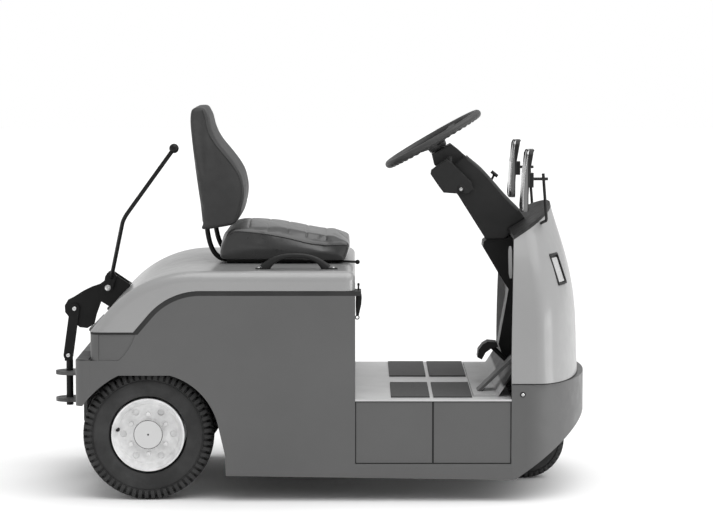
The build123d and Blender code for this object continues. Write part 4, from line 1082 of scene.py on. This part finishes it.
def cutLip(obj, look):
    tree = bpy.data.node_groups.new("lipCut", "GeometryNodeTree")
    tree.interface.new_socket("Geometry", in_out="INPUT", socket_type="NodeSocketGeometry")
    tree.interface.new_socket("Geometry", in_out="OUTPUT", socket_type="NodeSocketGeometry")
    start, end = tree.nodes.new("NodeGroupInput"), tree.nodes.new("NodeGroupOutput")
    low = Vector((look["front"], look["right"], look["low"])) * mm
    size = Vector((look["reach"], look["left"] - look["right"], look["height"])) * mm
    cube = addNode(tree, "GeometryNodeMeshCube", Size=size)
    move = addNode(tree, "GeometryNodeTransform", Translation=low + size / 2)
    cut = addNode(tree, "GeometryNodeMeshBoolean", operation="DIFFERENCE")
    join(tree, start.outputs[0], cut.inputs["Mesh 1"])
    join(tree, cube.outputs["Mesh"], move.inputs["Geometry"])
    join(tree, move.outputs["Geometry"], cut.inputs["Mesh 2"])
    join(tree, cut.outputs["Mesh"], end.inputs[0])
    obj.modifiers.new("lipCut", "NODES").node_group = tree


cutLip(nodes["hood_trim"], lipCut)
print("spine, latch and trim ear made")


# cowl: rolled inner edge that shows behind the cowl's rear edge, thinner at its ends, in a darker copy of the
# cowl's paint: painted shade

rollLook = {"line": ((638, 450, 735), (637, 441, 770), (637, 425, 805), (638, 408, 838)), "thick": 6.5,
            "deep": 3, "endShare": 0.55}
rolls = []
for side, sign in sides:
    line = [Vector((x, sign * y, z)) * mm for x, y, z in rollLook["line"]]
    line = smoothLoop(line, 4, closed=False)
    sections = []
    for index in range(len(line)):
        inner = min(index, len(line) - 1 - index, 2) / 2
        full = rollLook["endShare"] + (1 - rollLook["endShare"]) * inner
        sections.append(roundBox(rollLook["thick"] * full * mm, rollLook["deep"] * mm, 0.0025))
    rolls.append(sweep(line, sections))
joinPieces("cowlEdgeRolls", rolls, "rollPaintShaded", "chassis", 40)


# mirrors: a dark lip round each glass, which leans forward at its top

lipLook = {"line": ((676, 951), (676, 1007), (680, 1078), (692, 1149), (696, 1156)), "y": 370, "half": 62,
           "corner": 22, "radius": 2.6, "low": 954, "high": 1153}


def lipPath(look, sign):
    points = []
    middle = (look["low"] + look["high"]) / 2
    for across, up in roundBox(look["half"], (look["high"] - look["low"]) / 2, look["corner"], 5):
        z = middle + up
        for (lowX, lowZ), (highX, highZ) in zip(look["line"], look["line"][1:]):
            if lowZ <= z <= highZ:
                x = lowX + (highX - lowX) * (z - lowZ) / (highZ - lowZ)
        points.append(Vector((x, sign * look["y"] + across, z)) * mm)
    return points


for side, sign in sides:
    path = smoothLoop(lipPath(lipLook, sign), 3)
    points, faces = tubeAlong(path, lipLook["radius"] * mm, up=(1, 0, 0), closed=True)
    lip = addPiece(f"mirrorLip_{side}", points, faces, "mouldedBlack", "chassis", 60)
print("lenses, mirror lips and cowl edges made")


# floor, backdrop, lamps and camera

studio = {
    "floorTone": 0.93,
    "floorSize": 60.0,
    "worldStrength": 0.62,
    "sunStrength": 2.25,
    "sunAngle": 70,
    "sunFrom": (0.35, -0.20, 1.0),
    "boxes": {"rearBox": {"place": (-5.0, -1.6, 1.6), "aim": (-0.6, -0.3, 0.6), "size": (3.0, 3.0),
                          "power": 16},
              "frontBox": {"place": (5.2, -1.6, 0.6), "aim": (0.8, -0.2, 0.6), "size": (3.4, 1.1),
                           "power": 52}},
    "lensMm": 137.34,
    "cameraPlace": (0.1305, -9.357, 1.5815),
    "cameraPitch": 5.126,
}


def addToScene(name, data):
    obj = bpy.data.objects.new(name, data)
    scene.collection.objects.link(obj)
    return obj


def facing(place, aim):
    return (Vector(aim) - Vector(place)).to_track_quat("-Z", "Y").to_euler()


def makeFloor():
    mesh = bpy.data.meshes.new("studioFloor")
    half = studio["floorSize"] / 2
    corners = [(-half, -half, 0), (half, -half, 0), (half, half, 0), (-half, half, 0)]
    mesh.from_pydata(corners, [], [(0, 1, 2, 3)])
    floor = addToScene("studioFloor", mesh)
    material, tree, shader = startMaterial("floorWhite")
    tone = studio["floorTone"]
    cloud = remap(tree, noiseAt(tree, objectPlace(tree), 1.2), 0, 1)
    join(tree, blendColour(tree, cloud, grey(tone), grey(tone * 1.02)), shader.inputs["Base Color"])
    shader.inputs["Roughness"].default_value = 0.9
    mesh.materials.append(material)


def makeWorld():
    world = bpy.data.worlds.new("studioWorld")
    scene.world = world
    world.use_nodes = True
    tree = world.node_tree
    background = tree.nodes["Background"]
    setInputs(background, {"Color": (1, 1, 1, 1), "Strength": studio["worldStrength"]})
    seen = addNode(tree, "ShaderNodeBackground", Color=(1, 1, 1, 1))
    path = addNode(tree, "ShaderNodeLightPath")
    mix = addNode(tree, "ShaderNodeMixShader")
    join(tree, path.outputs["Is Camera Ray"], mix.inputs["Fac"])
    join(tree, background.outputs["Background"], mix.inputs[1])
    join(tree, seen.outputs["Background"], mix.inputs[2])
    join(tree, mix.outputs["Shader"], tree.nodes["World Output"].inputs["Surface"])


def makeSun():
    light = bpy.data.lights.new("softSun", "SUN")
    light.energy = studio["sunStrength"]
    light.angle = math.radians(studio["sunAngle"])
    addToScene("softSun", light).rotation_euler = facing(studio["sunFrom"], (0, 0, 0))


def makeBox(name, look):
    light = bpy.data.lights.new(name, "AREA")
    light.shape = "RECTANGLE"
    light.size, light.size_y = look["size"]
    light.energy = look["power"]
    lamp = addToScene(name, light)
    lamp.location = look["place"]
    lamp.rotation_euler = facing(look["place"], look["aim"])


def makeCamera():
    data = bpy.data.cameras.new("photoCamera")
    data.lens = studio["lensMm"]
    camera = addToScene("photoCamera", data)
    camera.location = studio["cameraPlace"]
    camera.rotation_euler = (math.radians(90 - studio["cameraPitch"]), 0, 0)
    scene.camera = camera


makeFloor()
makeWorld()
makeSun()
for name, look in studio["boxes"].items():
    makeBox(name, look)
makeCamera()
scene.view_settings.view_transform = "Standard"
print("studio ready")
